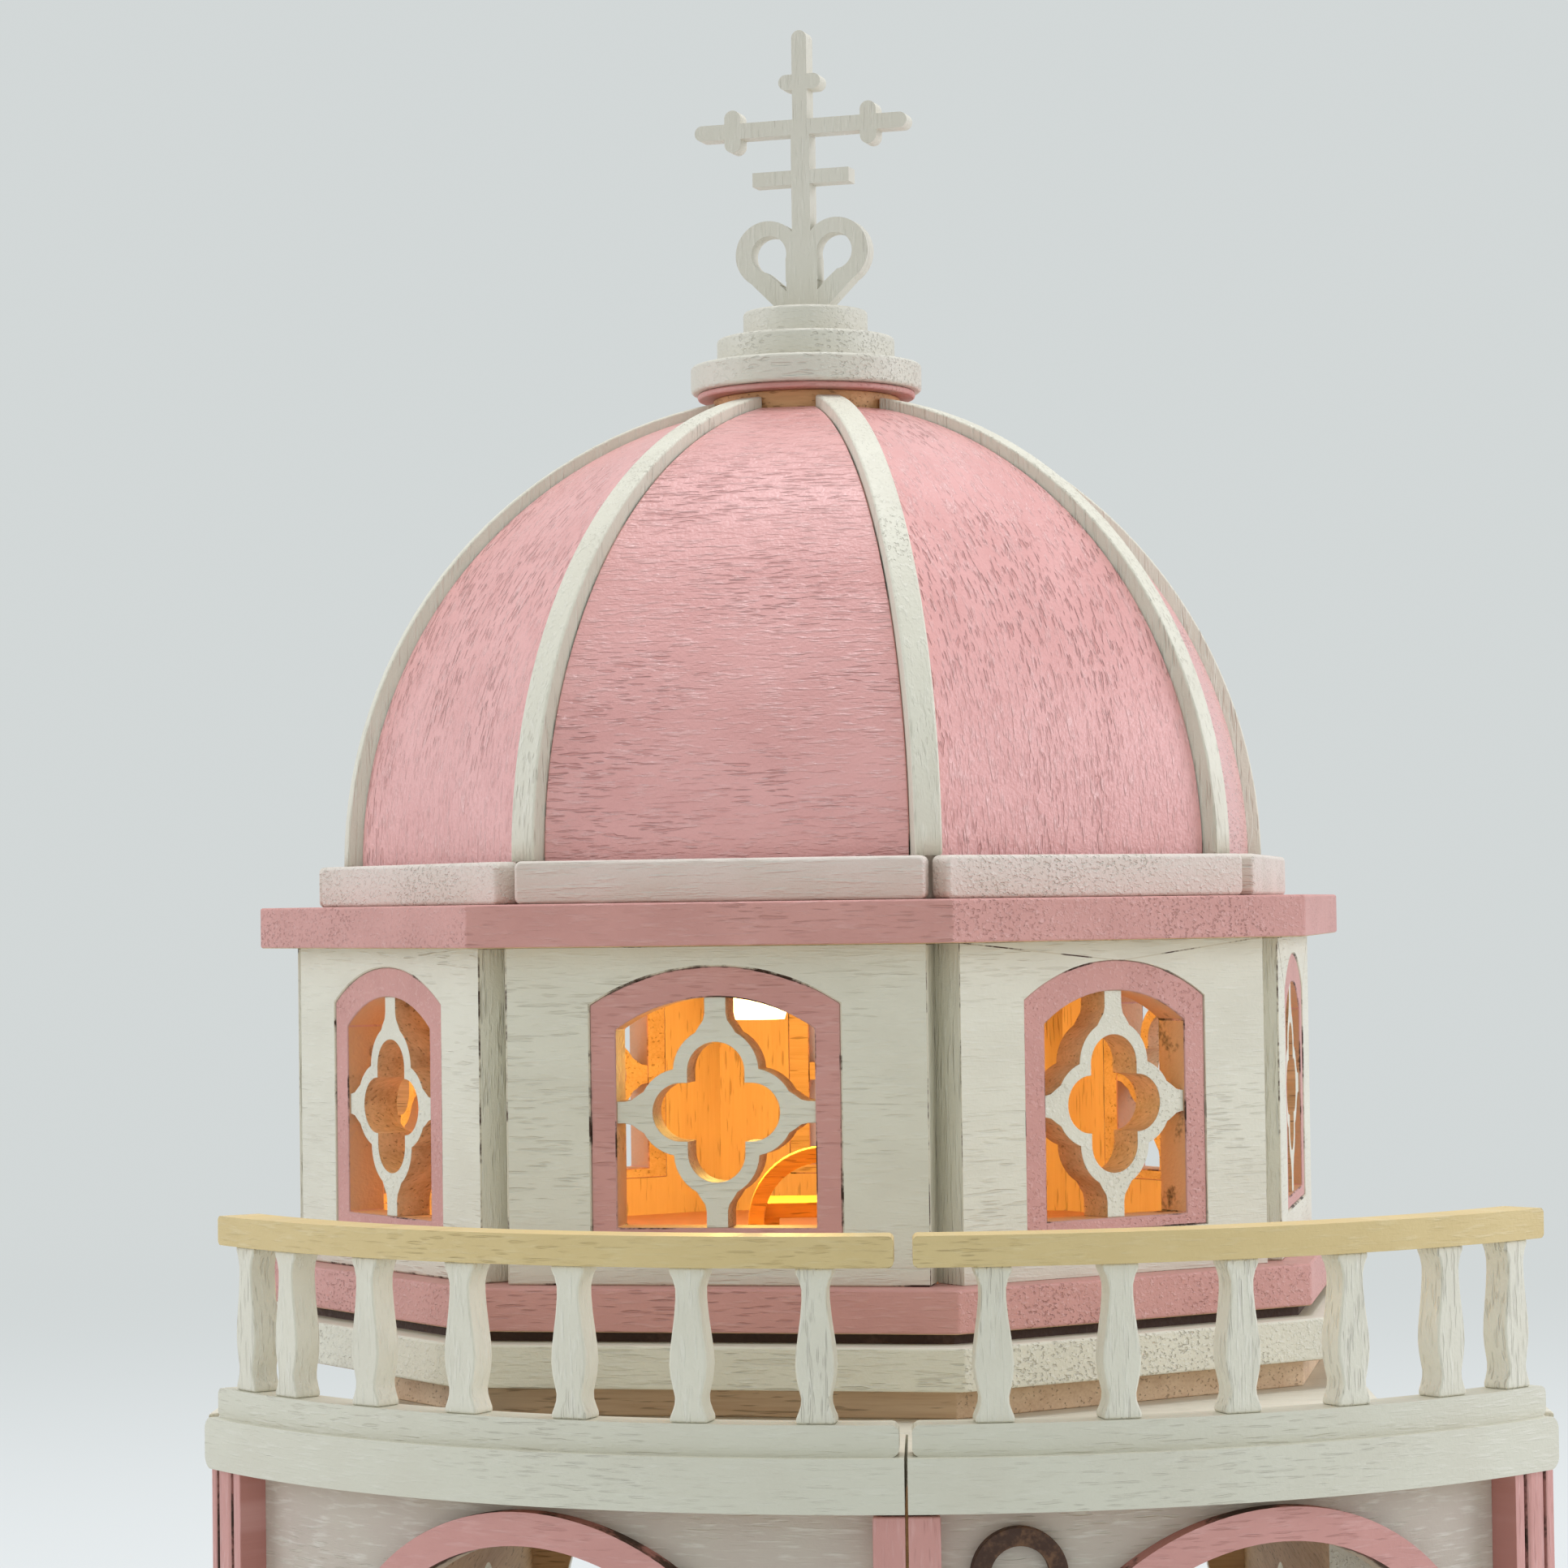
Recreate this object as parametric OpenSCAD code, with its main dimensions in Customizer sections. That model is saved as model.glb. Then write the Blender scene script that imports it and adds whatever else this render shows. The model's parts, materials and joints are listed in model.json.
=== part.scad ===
// Miniature domed pavilion of a laser-cut plywood castle, on a bow-fronted storey that opens.
// Millimetres. +Z is up, -Y is the bow front, and the origin is the bow's centre on the table.

/* [Plywood] */
// Thickness of the structural plywood: walls, plates and slabs
ply = 3; // [2.4:0.1:3.6]
// Thickness of the thin plywood: rails, ribs, ring strips and balusters
thin = 2; // [1.6:0.1:2.4]
// Thickness of the bent facing strips and of the dome's curved panels
veneer = 1; // [0.8:0.1:1.2]

/* [Bow-fronted storey] */
// Radius of the balcony's front edge
bow_r = 58.9; // [57:0.1:70]
// Angle from the front seam to the left end of the bow
bow_left = 55.2; // [50:0.1:60]
// Angle from the front seam to the right end of the bow
bow_right = 47.3; // [46.5:0.1:52]
// Depth of the building behind the bow's centre
back_y = 47; // [46:1:60]
// Step in from the bow's ends to the body behind it
shoulder = 10.8; // [9:0.1:12.6]
// Height of the storey between its base plate and the balcony slab
storey_h = 50; // [44:1:60]
// Setback of the curved wall from the balcony's edge
wall_setback = 2.5; // [2:0.1:4]
// Depth of the balcony floor that swings with each door
floor_depth = 12.3; // [10:0.1:13]
// Inner radius of the arched doorway in each curved wall
arch_r = 15.5; // [12:0.1:16]
// Angle from the front seam to the middle of the left arch
arch_left = 25.4; // [24:0.1:27]
// Angle from the front seam to the middle of the right arch
arch_right = 24.4; // [21:0.1:24.6]
// Width of the trim around each arch
trim_w = 2.2; // [1.4:0.1:2.4]
// Width of each pilaster at the ends of the bow
post_w = 4; // [3.6:0.1:5]
// Diameter of the hinge pins
pin_d = 1.5; // [1:0.1:1.8]

/* [Balustrade] */
// Thickness of the balcony floor and of the facing strip on its edge
fascia_h = 3.5; // [3:0.1:5]
// Height of the lower rail
low_rail_h = 2; // [1.5:0.1:3]
// Height of the balusters
baluster_h = 9.8; // [8:0.1:14]
// Width of a baluster at its belly
baluster_w = 2.5; // [2:0.1:3.2]
// Angle between neighbouring balusters
baluster_step = 8.1; // [7:0.05:8.5]
// Width of the handrail
handrail_w = 3; // [2.4:0.1:4]

/* [Pavilion] */
// Offset of the pavilion's axis from the bow's centre, across the front
pav_x = -7; // [-7.2:0.1:-4]
// Offset of the pavilion's axis from the bow's centre, to the back
pav_y = 1.2; // [0.8:0.1:2.6]
// Turn of the pavilion about its axis
pav_turn = -9.2; // [-12:0.1:-6]
// Width of the four principal wall panels
wall_w = 29.5; // [27:0.1:30]
// Width of the four diagonal wall panels
diag_w = 26.8; // [26:0.1:28]
// Height of the pavilion's walls
wall_h = 23.2; // [21:0.1:34]
// Overhang of the cornice and the floor plate beyond the inner faces of the walls
plate_out = 5.2; // [4.4:0.1:5.6]
// Overhang of the plinth band beyond the inner faces of the walls
plinth_out = 6.7; // [6:0.1:6.9]
// Height of the recessed riser under the plinth band
riser_h = 2; // [1.5:0.1:5]
// Height of the ring of strips around the dome's foot
ring_h = 3; // [2:0.1:5]

/* [Windows] */
// Width of the window frames in the principal walls
win_w = 17.5; // [14:0.1:18.5]
// Height of the frame's foot above the floor plate
win_z = 3.1; // [2:0.1:5]
// Gap between the frame's crown and the top of the wall
win_head = 1.4; // [1:0.1:3]
// Rise of the frame's crown above its shoulders
win_rise = 2.6; // [1.6:0.1:4]
// Width of the frame's sides
frame_w = 1.8; // [1.2:0.1:2.2]
// Radius of the four lobes in the window tracery
lobe_r = 2; // [1.5:0.1:2.2]
// Width of the tracery's band
band_w = 1; // [0.8:0.1:1.3]

/* [Dome and finial] */
// Setback of the ribs' outer edge from the corners of the walls' inner faces
rib_setback = 0.8; // [0.4:0.1:1.8]
// Depth of the ribs
rib_depth = 4; // [3:0.1:6]
// Step from the ribs' outer edge in to the curved panels
gore_step = 0.7; // [0.5:0.1:1.6]
// Radius of the widest cap disc
cap_r = 8.9; // [8:0.1:11]
// Step in radius from one cap disc to the next
cap_step = 2.05; // [1.5:0.05:2.4]
// Height of the finial's cross
cross_h = 21.8; // [18:0.1:30]
// Span of the finial's crossbar
cross_w = 17.2; // [14:0.1:22]
// Thickness of the finial's plate
cross_t = 1.6; // [1.2:0.1:2]
// Turn of the finial on the pavilion
cross_turn = -7; // [-45:1:45]

/* [Hidden] */
$fn = 96;
swing_gap = 0.4;             // air between a door and what stands still
fit = 0.1;                   // air between glued pieces that slot together
seam = 0.25;                 // half the angle between the two doors' curved walls
fine_seam = 0.1;             // half the angle between their stiles, floors and fascias
low_seam = 0.4;              // half the angle between the two lower rails
rail_seam = 0.6;             // half the angle between the two handrails
nose_r = 1;                  // rounding at the ends of the strips
eps = 0.01;

slab_z = ply + storey_h;
slab_t = fascia_h;
slab_top = slab_z + slab_t;
door_z = ply + swing_gap;
split_r = bow_r - floor_depth;
wall_ro = bow_r - wall_setback;
wall_ri = wall_ro - thin;
post_ro = bow_r - 0.5;
pin_r = (wall_ri + post_ro) / 2;
post_a = post_w / wall_ro * 180 / PI;
pin_left = bow_left - post_a / 2;
pin_right = bow_right - post_a / 2;
pin_bore = pin_d + 0.16;
sweep_r = norm([post_w / 2 + fit, bow_r - pin_r]) + swing_gap;
left_x = -bow_r * sin(bow_left);
right_x = bow_r * sin(bow_right);
body_l = left_x + shoulder;
body_r = right_x - shoulder;
side_inset = 1.2;            // overhang of the slab beyond the side walls
left_y = -pin_r * cos(pin_left) + sweep_r;
right_y = -pin_r * cos(pin_right) + sweep_r;
crown_z = slab_z - 0.6 - trim_w;
spring_z = crown_z - arch_r;

rail_ro = bow_r - 0.7;
rail_z = slab_top;
baluster_z = rail_z + low_rail_h;
handrail_z = baluster_z + baluster_h;
baluster_r = rail_ro - 0.3 - thin / 2;
baluster_first = 5.6;

riser_z = slab_top;
band_z = riser_z + riser_h;
spacer_z = band_z + ply;
spacer_h = 0.7;
floor_z = spacer_z + spacer_h;
wall_z = floor_z + ply;
cornice_z = wall_z + wall_h;
ring_z = cornice_z + ply;
dome_z = ring_z + ring_h;
ring_out = 1.4;
ap_p = (wall_w + sqrt(2) * diag_w) / 2;      // inner apothem of the principal walls
ap_d = (diag_w + sqrt(2) * wall_w) / 2;      // inner apothem of the diagonal walls
corner_a = atan2(wall_w / 2, ap_p);          // from a principal wall's middle to its corner

rib_r = ap_p / cos(corner_a) - rib_setback;  // radius of the ribs' outer edge
cap_z = dome_z + sqrt(rib_r * rib_r - cap_r * cap_r) + 0.8;
collar_r = cap_r - 1.7;
collar_h = 2.4;
under_t = 0.5;
disc_t = 2.1;
discs_z = cap_z + under_t;
cross_z = discs_z + 3 * disc_t;
gore_r = rib_r - gore_step;
tab_h = 1.5;

// ---------- the bow's curved pieces ----------

// A band about the origin's axis, from angle a0 to a1 measured from -Y towards +X
module arc_band(r0, r1, z0, h, a0, a1) {
    rotate([0, 0, a0 - 90])
        rotate_extrude(angle = a1 - a0)
            translate([r0, z0])
                square([r1 - r0, h]);
}

// Moves its child from the origin's radial line to the angle a
module at_angle(a) {
    rotate([0, 0, a - 90])
        children();
}

// The waste outside one rounded corner of a band's end; way and up are +1 or -1.
// The rounding crosses both faces at a slight angle, so no surfaces are tangent.
module corner_waste(r0, r1, a, way, z, up, r) {
    inset = 0.97 * r;
    at_angle(a)
        translate([r0 - 1, -way * inset, z - up * inset])
            rotate([90, 0, 90])
                linear_extrude(r1 - r0 + 2)
                    mirror([way < 0 ? 1 : 0, 0])
                        mirror([0, up < 0 ? 1 : 0])
                            difference() {
                                square(r + 1);
                                circle(r);
                            }
}

// An arc band with rounded ends: -1 is the end at a0 and 1 the end at a1
module nosed_band(r0, r1, z0, h, a0, a1, r = nose_r, ends = [-1, 1]) {
    difference() {
        arc_band(r0, r1, z0, h, a0, a1);
        for (up = [-1, 1], way = ends)
            corner_waste(r0, r1, way < 0 ? a0 : a1, way, up < 0 ? z0 : z0 + h, up, r);
    }
}

// A round-headed prism along the radial line at angle a
module arch_prism(r, a, z0, z_spring, r0, r1) {
    at_angle(a)
        translate([r0, 0, 0])
            rotate([90, 0, 90])
                linear_extrude(r1 - r0) {
                    translate([-r, z0])
                        square([2 * r, z_spring - z0]);
                    translate([0, z_spring])
                        circle(r);
                }
}

// A vertical round bar at radius r and angle a
module pin_shape(r, a, d, z0, h) {
    at_angle(a)
        translate([r, 0, z0])
            cylinder(h = h, d = d);
}

module door_wall(a0, a1, mid) {
    color("#e9e6dc")
        difference() {
            arc_band(wall_ri, wall_ro, door_z, slab_z - door_z, a0, a1);
            arch_prism(arch_r, mid, door_z - 1, spring_z, wall_ri - 3, wall_ro + 3);
        }
}

module door_trim(a0, a1, mid) {
    color("#d99aa2")
        difference() {
            intersection() {
                arc_band(wall_ro, wall_ro + 1.2, door_z, slab_z - door_z, a0, a1);
                arch_prism(arch_r + trim_w, mid, door_z - 1, spring_z, wall_ri - 3, bow_r + 1);
            }
            arch_prism(arch_r, mid, door_z - 2, spring_z, wall_ri - 4, bow_r + 2);
        }
}

// The dark ring glued beside the middle posts, in the corner above the right arch
module wall_ring() {
    ring_r = 3.1;
    color("#4f3222")
        intersection() {
            arc_band(wall_ro, wall_ro + 0.9, slab_z - 10, 10, 0, 15);
            at_angle(7.1)
                translate([wall_ri, 0, slab_z - 1.1 - ring_r])
                    rotate([0, 90, 0])
                        difference() {
                            cylinder(h = 8, r = ring_r);
                            translate([0, 0, -1])
                                cylinder(h = 10, r = ring_r - 1.2);
                        }
        }
}

// The solid post that turns on the hinge pin, with two shallow grooves down its face
module door_post(a0, a1, pin_a) {
    groove = 0.35;
    color("#cf8d92")
        difference() {
            arc_band(wall_ri, post_ro, door_z, slab_z - door_z, a0, a1);
            pin_shape(pin_r, pin_a, pin_bore, door_z - 1, storey_h + 2);
            for (f = [0.25, 0.75])
                at_angle(a0 + (a1 - a0) * f)
                    translate([post_ro - groove, -groove / 2, door_z - 1])
                        cube([2 * groove, groove, storey_h + 2]);
        }
}

// The narrow strip that covers the doors' meeting edges
module door_stile(a0, a1) {
    color("#cf8d92")
        arc_band(wall_ro, post_ro, door_z, slab_z - door_z - 0.2, a0, a1);
}

module door_floor(a0, a1, pin_a) {
    color("#e9e6dc")
        difference() {
            arc_band(split_r, bow_r - veneer, slab_z, slab_t, a0, a1);
            pin_shape(pin_r, pin_a, pin_bore, slab_z - 1, slab_t);
        }
}

// The facing strip is rounded at its outer end, on the left with way = -1 and on the right with 1
module fascia(a0, a1, way) {
    color("#ecebe4")
        nosed_band(bow_r - veneer, bow_r, slab_z, fascia_h, a0, a1, ends = [way]);
}

module low_rail(a0, a1) {
    color("#ecebe4")
        nosed_band(rail_ro - thin - 0.6, rail_ro, rail_z, low_rail_h, a0, a1, 0.6);
}

module handrail(a0, a1) {
    color("#dcc58b")
        nosed_band(rail_ro + 0.1 - handrail_w, rail_ro + 0.1, handrail_z, thin, a0, a1, 0.4);
}

// Half of the baluster's outline from foot to top, as parts of its height and belly
function baluster_half() = [
    [0.5, 0], [0.5, 0.035], [0.43, 0.075], [0.37, 0.12], [0.36, 0.165], [0.41, 0.22],
    [0.47, 0.29], [0.5, 0.37], [0.48, 0.46], [0.42, 0.57], [0.36, 0.68], [0.32, 0.79],
    [0.32, 0.86], [0.38, 0.92], [0.47, 0.965], [0.48, 1]
];

module baluster() {
    half = baluster_half();
    n = len(half);
    right = [for (p = half) [p[0] * baluster_w, p[1] * baluster_h]];
    left = [for (i = [n - 1:-1:0]) [-half[i][0] * baluster_w, half[i][1] * baluster_h]];
    translate([-thin / 2, 0, 0])
        rotate([90, 0, 90])
            linear_extrude(thin)
                polygon(concat(right, left));
}

module balusters(angles) {
    color("#f1f0ea")
        for (a = angles)
            at_angle(a)
                translate([baluster_r, 0, baluster_z])
                    baluster();
}

left_angles = concat(
    [for (k = [0:5]) -(baluster_first + baluster_step * k)],
    [-(bow_left - 4.1)]
);
right_angles = concat(
    [for (k = [0:4]) baluster_first + baluster_step * k],
    [bow_right - 2.9]
);

// ---------- the storey that stands still ----------

// Outline of the building, with the bow's front at radius r and shoulders behind its ends
module storey_outline(r) {
    difference() {
        intersection() {
            translate([left_x, -bow_r - 1])
                square([right_x - left_x, bow_r + 1 + back_y]);
            union() {
                circle(r);
                translate([left_x, -bow_r * cos(bow_left)])
                    square([right_x - left_x, back_y + bow_r * cos(bow_left)]);
                translate([0, -bow_r * cos(bow_right)])
                    square([right_x, back_y + bow_r * cos(bow_right)]);
            }
        }
        translate([left_x - 1, left_y + ply + side_inset])
            square([shoulder + 1, back_y + bow_r]);
        translate([body_r, right_y + ply + side_inset])
            square([shoulder + 1, back_y + bow_r]);
    }
}

// Everything a door sweeps through near its ends, cut from the fixed plates
module door_room(z0, h) {
    arc_band(split_r - swing_gap, bow_r + 20, z0, h, -bow_left - 0.5, bow_right + 0.5);
    pin_shape(pin_r, -pin_left, 2 * sweep_r, z0, h);
    pin_shape(pin_r, pin_right, 2 * sweep_r, z0, h);
}

module base_plate() {
    color("#d9c7a2")
        difference() {
            linear_extrude(ply)
                storey_outline(bow_r);
            pin_shape(pin_r, -pin_left, pin_d, ply / 3, ply);
            pin_shape(pin_r, pin_right, pin_d, ply / 3, ply);
        }
}

module core_slab() {
    color("#e9e6dc")
        difference() {
            translate([0, 0, slab_z])
                linear_extrude(slab_t)
                    storey_outline(bow_r);
            door_room(slab_z - 1, slab_t + 2);
        }
}

side_win_r = 8;
side_win_z = 14;
side_win_spring = 32;

module side_arch_2d(r) {
    translate([-r, side_win_z - (r - side_win_r)])
        square([2 * r, side_win_spring - side_win_z + (r - side_win_r)]);
    translate([0, side_win_spring])
        circle(r);
}

// A side wall from y0 to the back wall, x being its left face, with one arched window.
// The cheek that reaches out to the bow's end starts at x_cheek.
module side_wall(x, y0, x_cheek) {
    len = back_y - ply - y0;
    difference() {
        union() {
            translate([x, y0, ply])
                cube([ply, len, storey_h]);
            translate([x_cheek, y0, ply])
                cube([shoulder + ply, ply, storey_h]);
        }
        arc_band(split_r - swing_gap, bow_r + 20, slab_z - swing_gap, 2,
                 -bow_left - 0.5, bow_right + 0.5);
        translate([x - 1, y0 + len / 2, 0])
            rotate([90, 0, 90])
                linear_extrude(ply + 2)
                    side_arch_2d(side_win_r);
    }
}

// The window trim on the outside of a side wall, x being the plane it is glued to
module side_trim(x, y0, t) {
    len = back_y - ply - y0;
    translate([x, y0 + len / 2, 0])
        rotate([90, 0, 90])
            linear_extrude(t)
                difference() {
                    side_arch_2d(side_win_r + trim_w);
                    side_arch_2d(side_win_r);
                }
}

module side_walls() {
    color("#e9e6dc") {
        side_wall(body_l + side_inset, left_y, left_x + side_inset);
        side_wall(body_r - side_inset - ply, right_y, body_r - side_inset - ply);
    }
}

module side_trims() {
    color("#d99aa2") {
        side_trim(body_l + side_inset - 1, left_y, 1);
        side_trim(body_r - side_inset, right_y, 1);
    }
}

back_sill = 6;
back_pier = 8;               // width of the pier between the two arches in the back wall
back_margin = 2.8;           // from those arches to the side walls' inner faces
back_top = 10;               // from their crowns to the balcony slab

// The back wall, with two arched ways into the room
module back_wall() {
    width = body_r - body_l - 2 * side_inset;
    r = (width / 2 - ply - back_margin - back_pier / 2) / 2;
    spring = storey_h - back_top - r;
    color("#e9e6dc")
        translate([(body_l + body_r) / 2, back_y, ply])
            rotate([90, 0, 0])
                linear_extrude(ply)
                    difference() {
                        translate([-width / 2, 0])
                            square([width, storey_h]);
                        for (s = [-1, 1])
                            translate([s * (back_pier / 2 + r), 0]) {
                                translate([-r, back_sill])
                                    square([2 * r, spring - back_sill]);
                                translate([0, spring])
                                    circle(r);
                            }
                    }
}

module hinge_pins() {
    color("#b9924f")
        for (a = [-pin_left, pin_right])
            pin_shape(pin_r, a, pin_d, ply / 3, slab_z + slab_t / 2 - ply / 3);
}

// ---------- the pavilion ----------

module in_pavilion() {
    translate([pav_x, pav_y, 0])
        rotate([0, 0, pav_turn])
            children();
}

// Turns its child from the front wall's place to wall number k, anticlockwise from the front
module at_wall(k) {
    rotate([0, 0, 45 * k])
        children();
}

function apothem(k) = k % 2 == 0 ? ap_p : ap_d;
function panel_w(k) = k % 2 == 0 ? wall_w : diag_w;
function half_angle(k) = k % 2 == 0 ? corner_a : 45 - corner_a;

// The walls' inner octagon, grown outwards by out
module octagon(out) {
    p = ap_p + out;
    c = sqrt(2) * (ap_d + out) - p;
    polygon([[p, -c], [p, c], [c, p], [-c, p], [-p, c], [-p, -c], [-c, -p], [c, -p]]);
}

module oct_plate(out, z0, h) {
    in_pavilion()
        translate([0, 0, z0])
            linear_extrude(h)
                octagon(out);
}

// A window outline: w wide, from z0 to shoulders at z1, with an arched head of the given rise
module window_2d(w, z0, z1, rise) {
    r = (w * w / 4 + rise * rise) / (2 * rise);
    translate([-w / 2, z0])
        square([w, z1 - z0]);
    intersection() {
        translate([0, z1 + rise - r])
            circle(r);
        translate([-w / 2, z1])
            square([w, rise + 1]);
    }
}

win_z1 = wall_h - win_head - win_rise;
sill_h = 0.85;
in_rise = win_rise - 0.4;
in_z0 = win_z + sill_h;
in_z1 = win_z1 - 1.7;
in_mid = (in_z0 + in_z1 + in_rise) / 2;
function win_wide(k) = win_w * panel_w(k) / wall_w;

module window_hole(k) { window_2d(win_wide(k), win_z, win_z1, win_rise); }
module window_light(k) { window_2d(win_wide(k) - 2 * frame_w, in_z0, in_z1, in_rise); }

// A solid cut through wall k: its child's outline, of thickness t, ending in from the wall's face
module wall_slice(k, t, in = 0) {
    in_pavilion()
        at_wall(k)
            translate([0, -apothem(k) - ply + in + t, wall_z])
                rotate([90, 0, 0])
                    linear_extrude(t)
                        children();
}

module wall_panel(k) {
    color("#ecebe4")
        wall_slice(k, ply)
            difference() {
                translate([-panel_w(k) / 2, 0])
                    square([panel_w(k), wall_h]);
                window_hole(k);
            }
}

module window_frames() {
    color("#d99aa2")
        for (k = [0:7])
            wall_slice(k, ply - 0.1, 0.1)
                difference() {
                    window_hole(k);
                    window_light(k);
                }
}

// Four lobes around the middle: the reach up and across, and the lobes' radius
module quatrefoil(up, across, r) {
    for (s = [-1, 1]) {
        translate([0, s * (up - r)])
            circle(r);
        translate([s * (across - r), 0])
            circle(r);
    }
    square([2 * r, 2 * (up - r)], center = true);
    square([2 * (across - r), 2 * r], center = true);
}

// The tracery's reach up and across, to the inside of its band
foil_up = 4.8;
function foil_across(k) = 4.45 * panel_w(k) / wall_w;

// The widened foot where a stem meets the band, pointing along +X from the given reach
module stem_foot(reach) {
    polygon([
        [reach - 0.9, -1.75], [reach, -1.2], [reach + 0.5, -0.85], [reach + 1.2, -0.7],
        [reach + 1.2, 0.7], [reach + 0.5, 0.85], [reach, 1.2], [reach - 0.9, 1.75]
    ]);
}

module tracery_2d(k) {
    up = foil_up + band_w;
    across = foil_across(k) + band_w;
    intersection() {
        window_light(k);
        translate([0, in_mid])
            difference() {
                union() {
                    quatrefoil(up, across, lobe_r + band_w);
                    square([1.5, wall_h], center = true);
                    square([panel_w(k), 1.5], center = true);
                    for (turn = [0, 180]) {
                        rotate(turn)
                            stem_foot(across);
                        rotate(turn + 90)
                            stem_foot(up);
                    }
                }
                quatrefoil(foil_up, foil_across(k), lobe_r);
            }
    }
}

module window_tracery() {
    color("#f1f0ea")
        for (k = [0:7])
            wall_slice(k, ply - 0.3, 0.3)
                tracery_2d(k);
}

// The riser keeps within the body's sides; its front follows the plinth
module plinth_riser() {
    color("#8a6b52")
        intersection() {
            oct_plate(plinth_out - 2.2, riser_z, riser_h);
            translate([body_l, -bow_r, riser_z - 1])
                cube([body_r - body_l, bow_r + back_y, riser_h + 2]);
        }
}

module plinth_band() { color("#e9e6dc") oct_plate(plinth_out, band_z, ply); }
module plinth_spacer() { color("#3a2820") oct_plate(plate_out - 1, spacer_z, spacer_h); }
module pavilion_floor() { color("#d99aa2") oct_plate(plate_out, floor_z, ply); }

// A small round-backed chair: a seat on four legs with a hoop standing behind it
module hoop_chair() {
    hoop_r = 5.8;
    rim = 1.2;
    seat_h = 3.2;
    hoop_z = 1.7;
    color("#e0a83c")
        in_pavilion()
            translate([0.7, -1, wall_z])
                rotate([0, 0, 12]) {
                    translate([0, 0, hoop_z])
                        rotate([90, 0, 0])
                            linear_extrude(1.5)
                                intersection() {
                                    difference() {
                                        circle(hoop_r);
                                        circle(hoop_r - rim);
                                    }
                                    translate([-hoop_r, -hoop_z])
                                        square([2 * hoop_r, hoop_r + hoop_z]);
                                }
                    translate([-hoop_r + rim / 2, 0, seat_h - 1.2])
                        cube([2 * hoop_r - rim, 7.5, 1.2]);
                    for (x = [-4.6, 3.4], y = [0.4, 5.8])
                        translate([x, y, 0])
                            cube([1.2, 1.2, seat_h - 1]);
                }
}

// ---------- the roof ----------

module cornice() {
    color("#d99aa2")
        difference() {
            oct_plate(plate_out, cornice_z, ply);
            in_pavilion()
                translate([0, 0, cornice_z - 1])
                    cylinder(h = ply + 2, d = 3);
        }
}

// The lip under the cornice that drops inside the walls and keeps the roof in place
module roof_locator() {
    lip_h = 1.2;
    color("#d9c7a2")
        difference() {
            oct_plate(-0.5, cornice_z - lip_h, lip_h);
            oct_plate(-2.5, cornice_z - lip_h - 1, lip_h + 2);
        }
}

// One strip of the ring, with rounded corners, seen from the front
module strip_2d(w, h, r) {
    translate([-w / 2 + r, 0])
        square([w - 2 * r, h]);
    translate([-w / 2, r])
        square([w, h - 2 * r]);
    for (x = [-w / 2 + r, w / 2 - r], z = [r, h - r])
        translate([x, z])
            circle(r);
}

module ring_strips() {
    inner = ring_out - thin;
    color("#ecebe4")
        for (k = [0:7])
            in_pavilion()
                at_wall(k)
                    translate([0, -apothem(k) - inner, ring_z])
                        rotate([90, 0, 0])
                            linear_extrude(thin)
                                strip_2d(panel_w(k) + 2 * inner * tan(22.5) - fit, ring_h, 0.5);
}

rib_angles = [for (k = [0:3], s = [-1, 1]) 90 * k + s * corner_a];
rib_foot_r = (ap_p + ring_out - thin) / cos(corner_a) - thin / 2 * tan(corner_a) - fit;

// The ribs stand in upright planes through the octagon's corners
module dome_ribs() {
    top = cap_z - dome_z;
    color("#f1f0ea")
        for (a = rib_angles)
            in_pavilion()
                rotate([0, 0, a])
                    translate([thin / 2, 0, ring_z])
                        rotate([90, 0, -90])
                            linear_extrude(thin)
                                difference() {
                                    union() {
                                        translate([0, ring_h])
                                            circle(rib_r);
                                        square([min(rib_r, rib_foot_r), ring_h]);
                                    }
                                    translate([0, ring_h])
                                        circle(rib_r - rib_depth);
                                    translate([-rib_r - 1, -2 * rib_r])
                                        square([2 * rib_r + 2, 2 * rib_r]);
                                    translate([0, -1])
                                        square([rib_r - rib_depth, ring_h + 1]);
                                    translate([rib_foot_r, -1])
                                        square([rib_r, ring_h + 1]);
                                    translate([-rib_r - 1, -1])
                                        square([rib_r + 1 + collar_r + fit, 2 * rib_r]);
                                    translate([0, ring_h + top])
                                        square([rib_r, rib_r]);
                                }
}

// A curved panel: an elliptic arc carried across the wall's width and cut to its wedge,
// so that both its edges are true circles about the dome's centre
gore_steps = 20;
gore_top = acos((collar_r + 1.1) / gore_r);
function gore_arc(r, across) = [
    for (i = [0:gore_steps])
        let (t = gore_top * i / gore_steps)
            [r * across * cos(t), ring_h + r * sin(t)]
];

module gore(k) {
    h = half_angle(k);
    side = thin / 2 + fit;
    far = rib_r + 4;
    outer = gore_arc(gore_r, cos(h));
    inner = gore_arc(gore_r - veneer, cos(h));
    inward = [for (i = [gore_steps:-1:0]) inner[i]];
    color("#e3a9ad")
        in_pavilion()
            at_wall(k)
                intersection() {
                    translate([far, 0, ring_z])
                        rotate([90, 0, -90])
                            linear_extrude(2 * far)
                                polygon(concat(
                                    [[outer[0][0], 0]], outer, inward, [[inner[0][0], 0]]
                                ));
                    translate([0, 0, ring_z - 1])
                        linear_extrude(2 * far)
                            polygon([
                                [0, -side / sin(h)],
                                [-far * tan(h) + side / cos(h), -far],
                                [far * tan(h) - side / cos(h), -far]
                            ]);
                }
}

module on_axis(z0) {
    in_pavilion()
        translate([0, 0, z0])
            children();
}

module dome_collar() {
    color("#c08a52")
        on_axis(cap_z - collar_h)
            cylinder(h = collar_h, r = collar_r);
}

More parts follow.
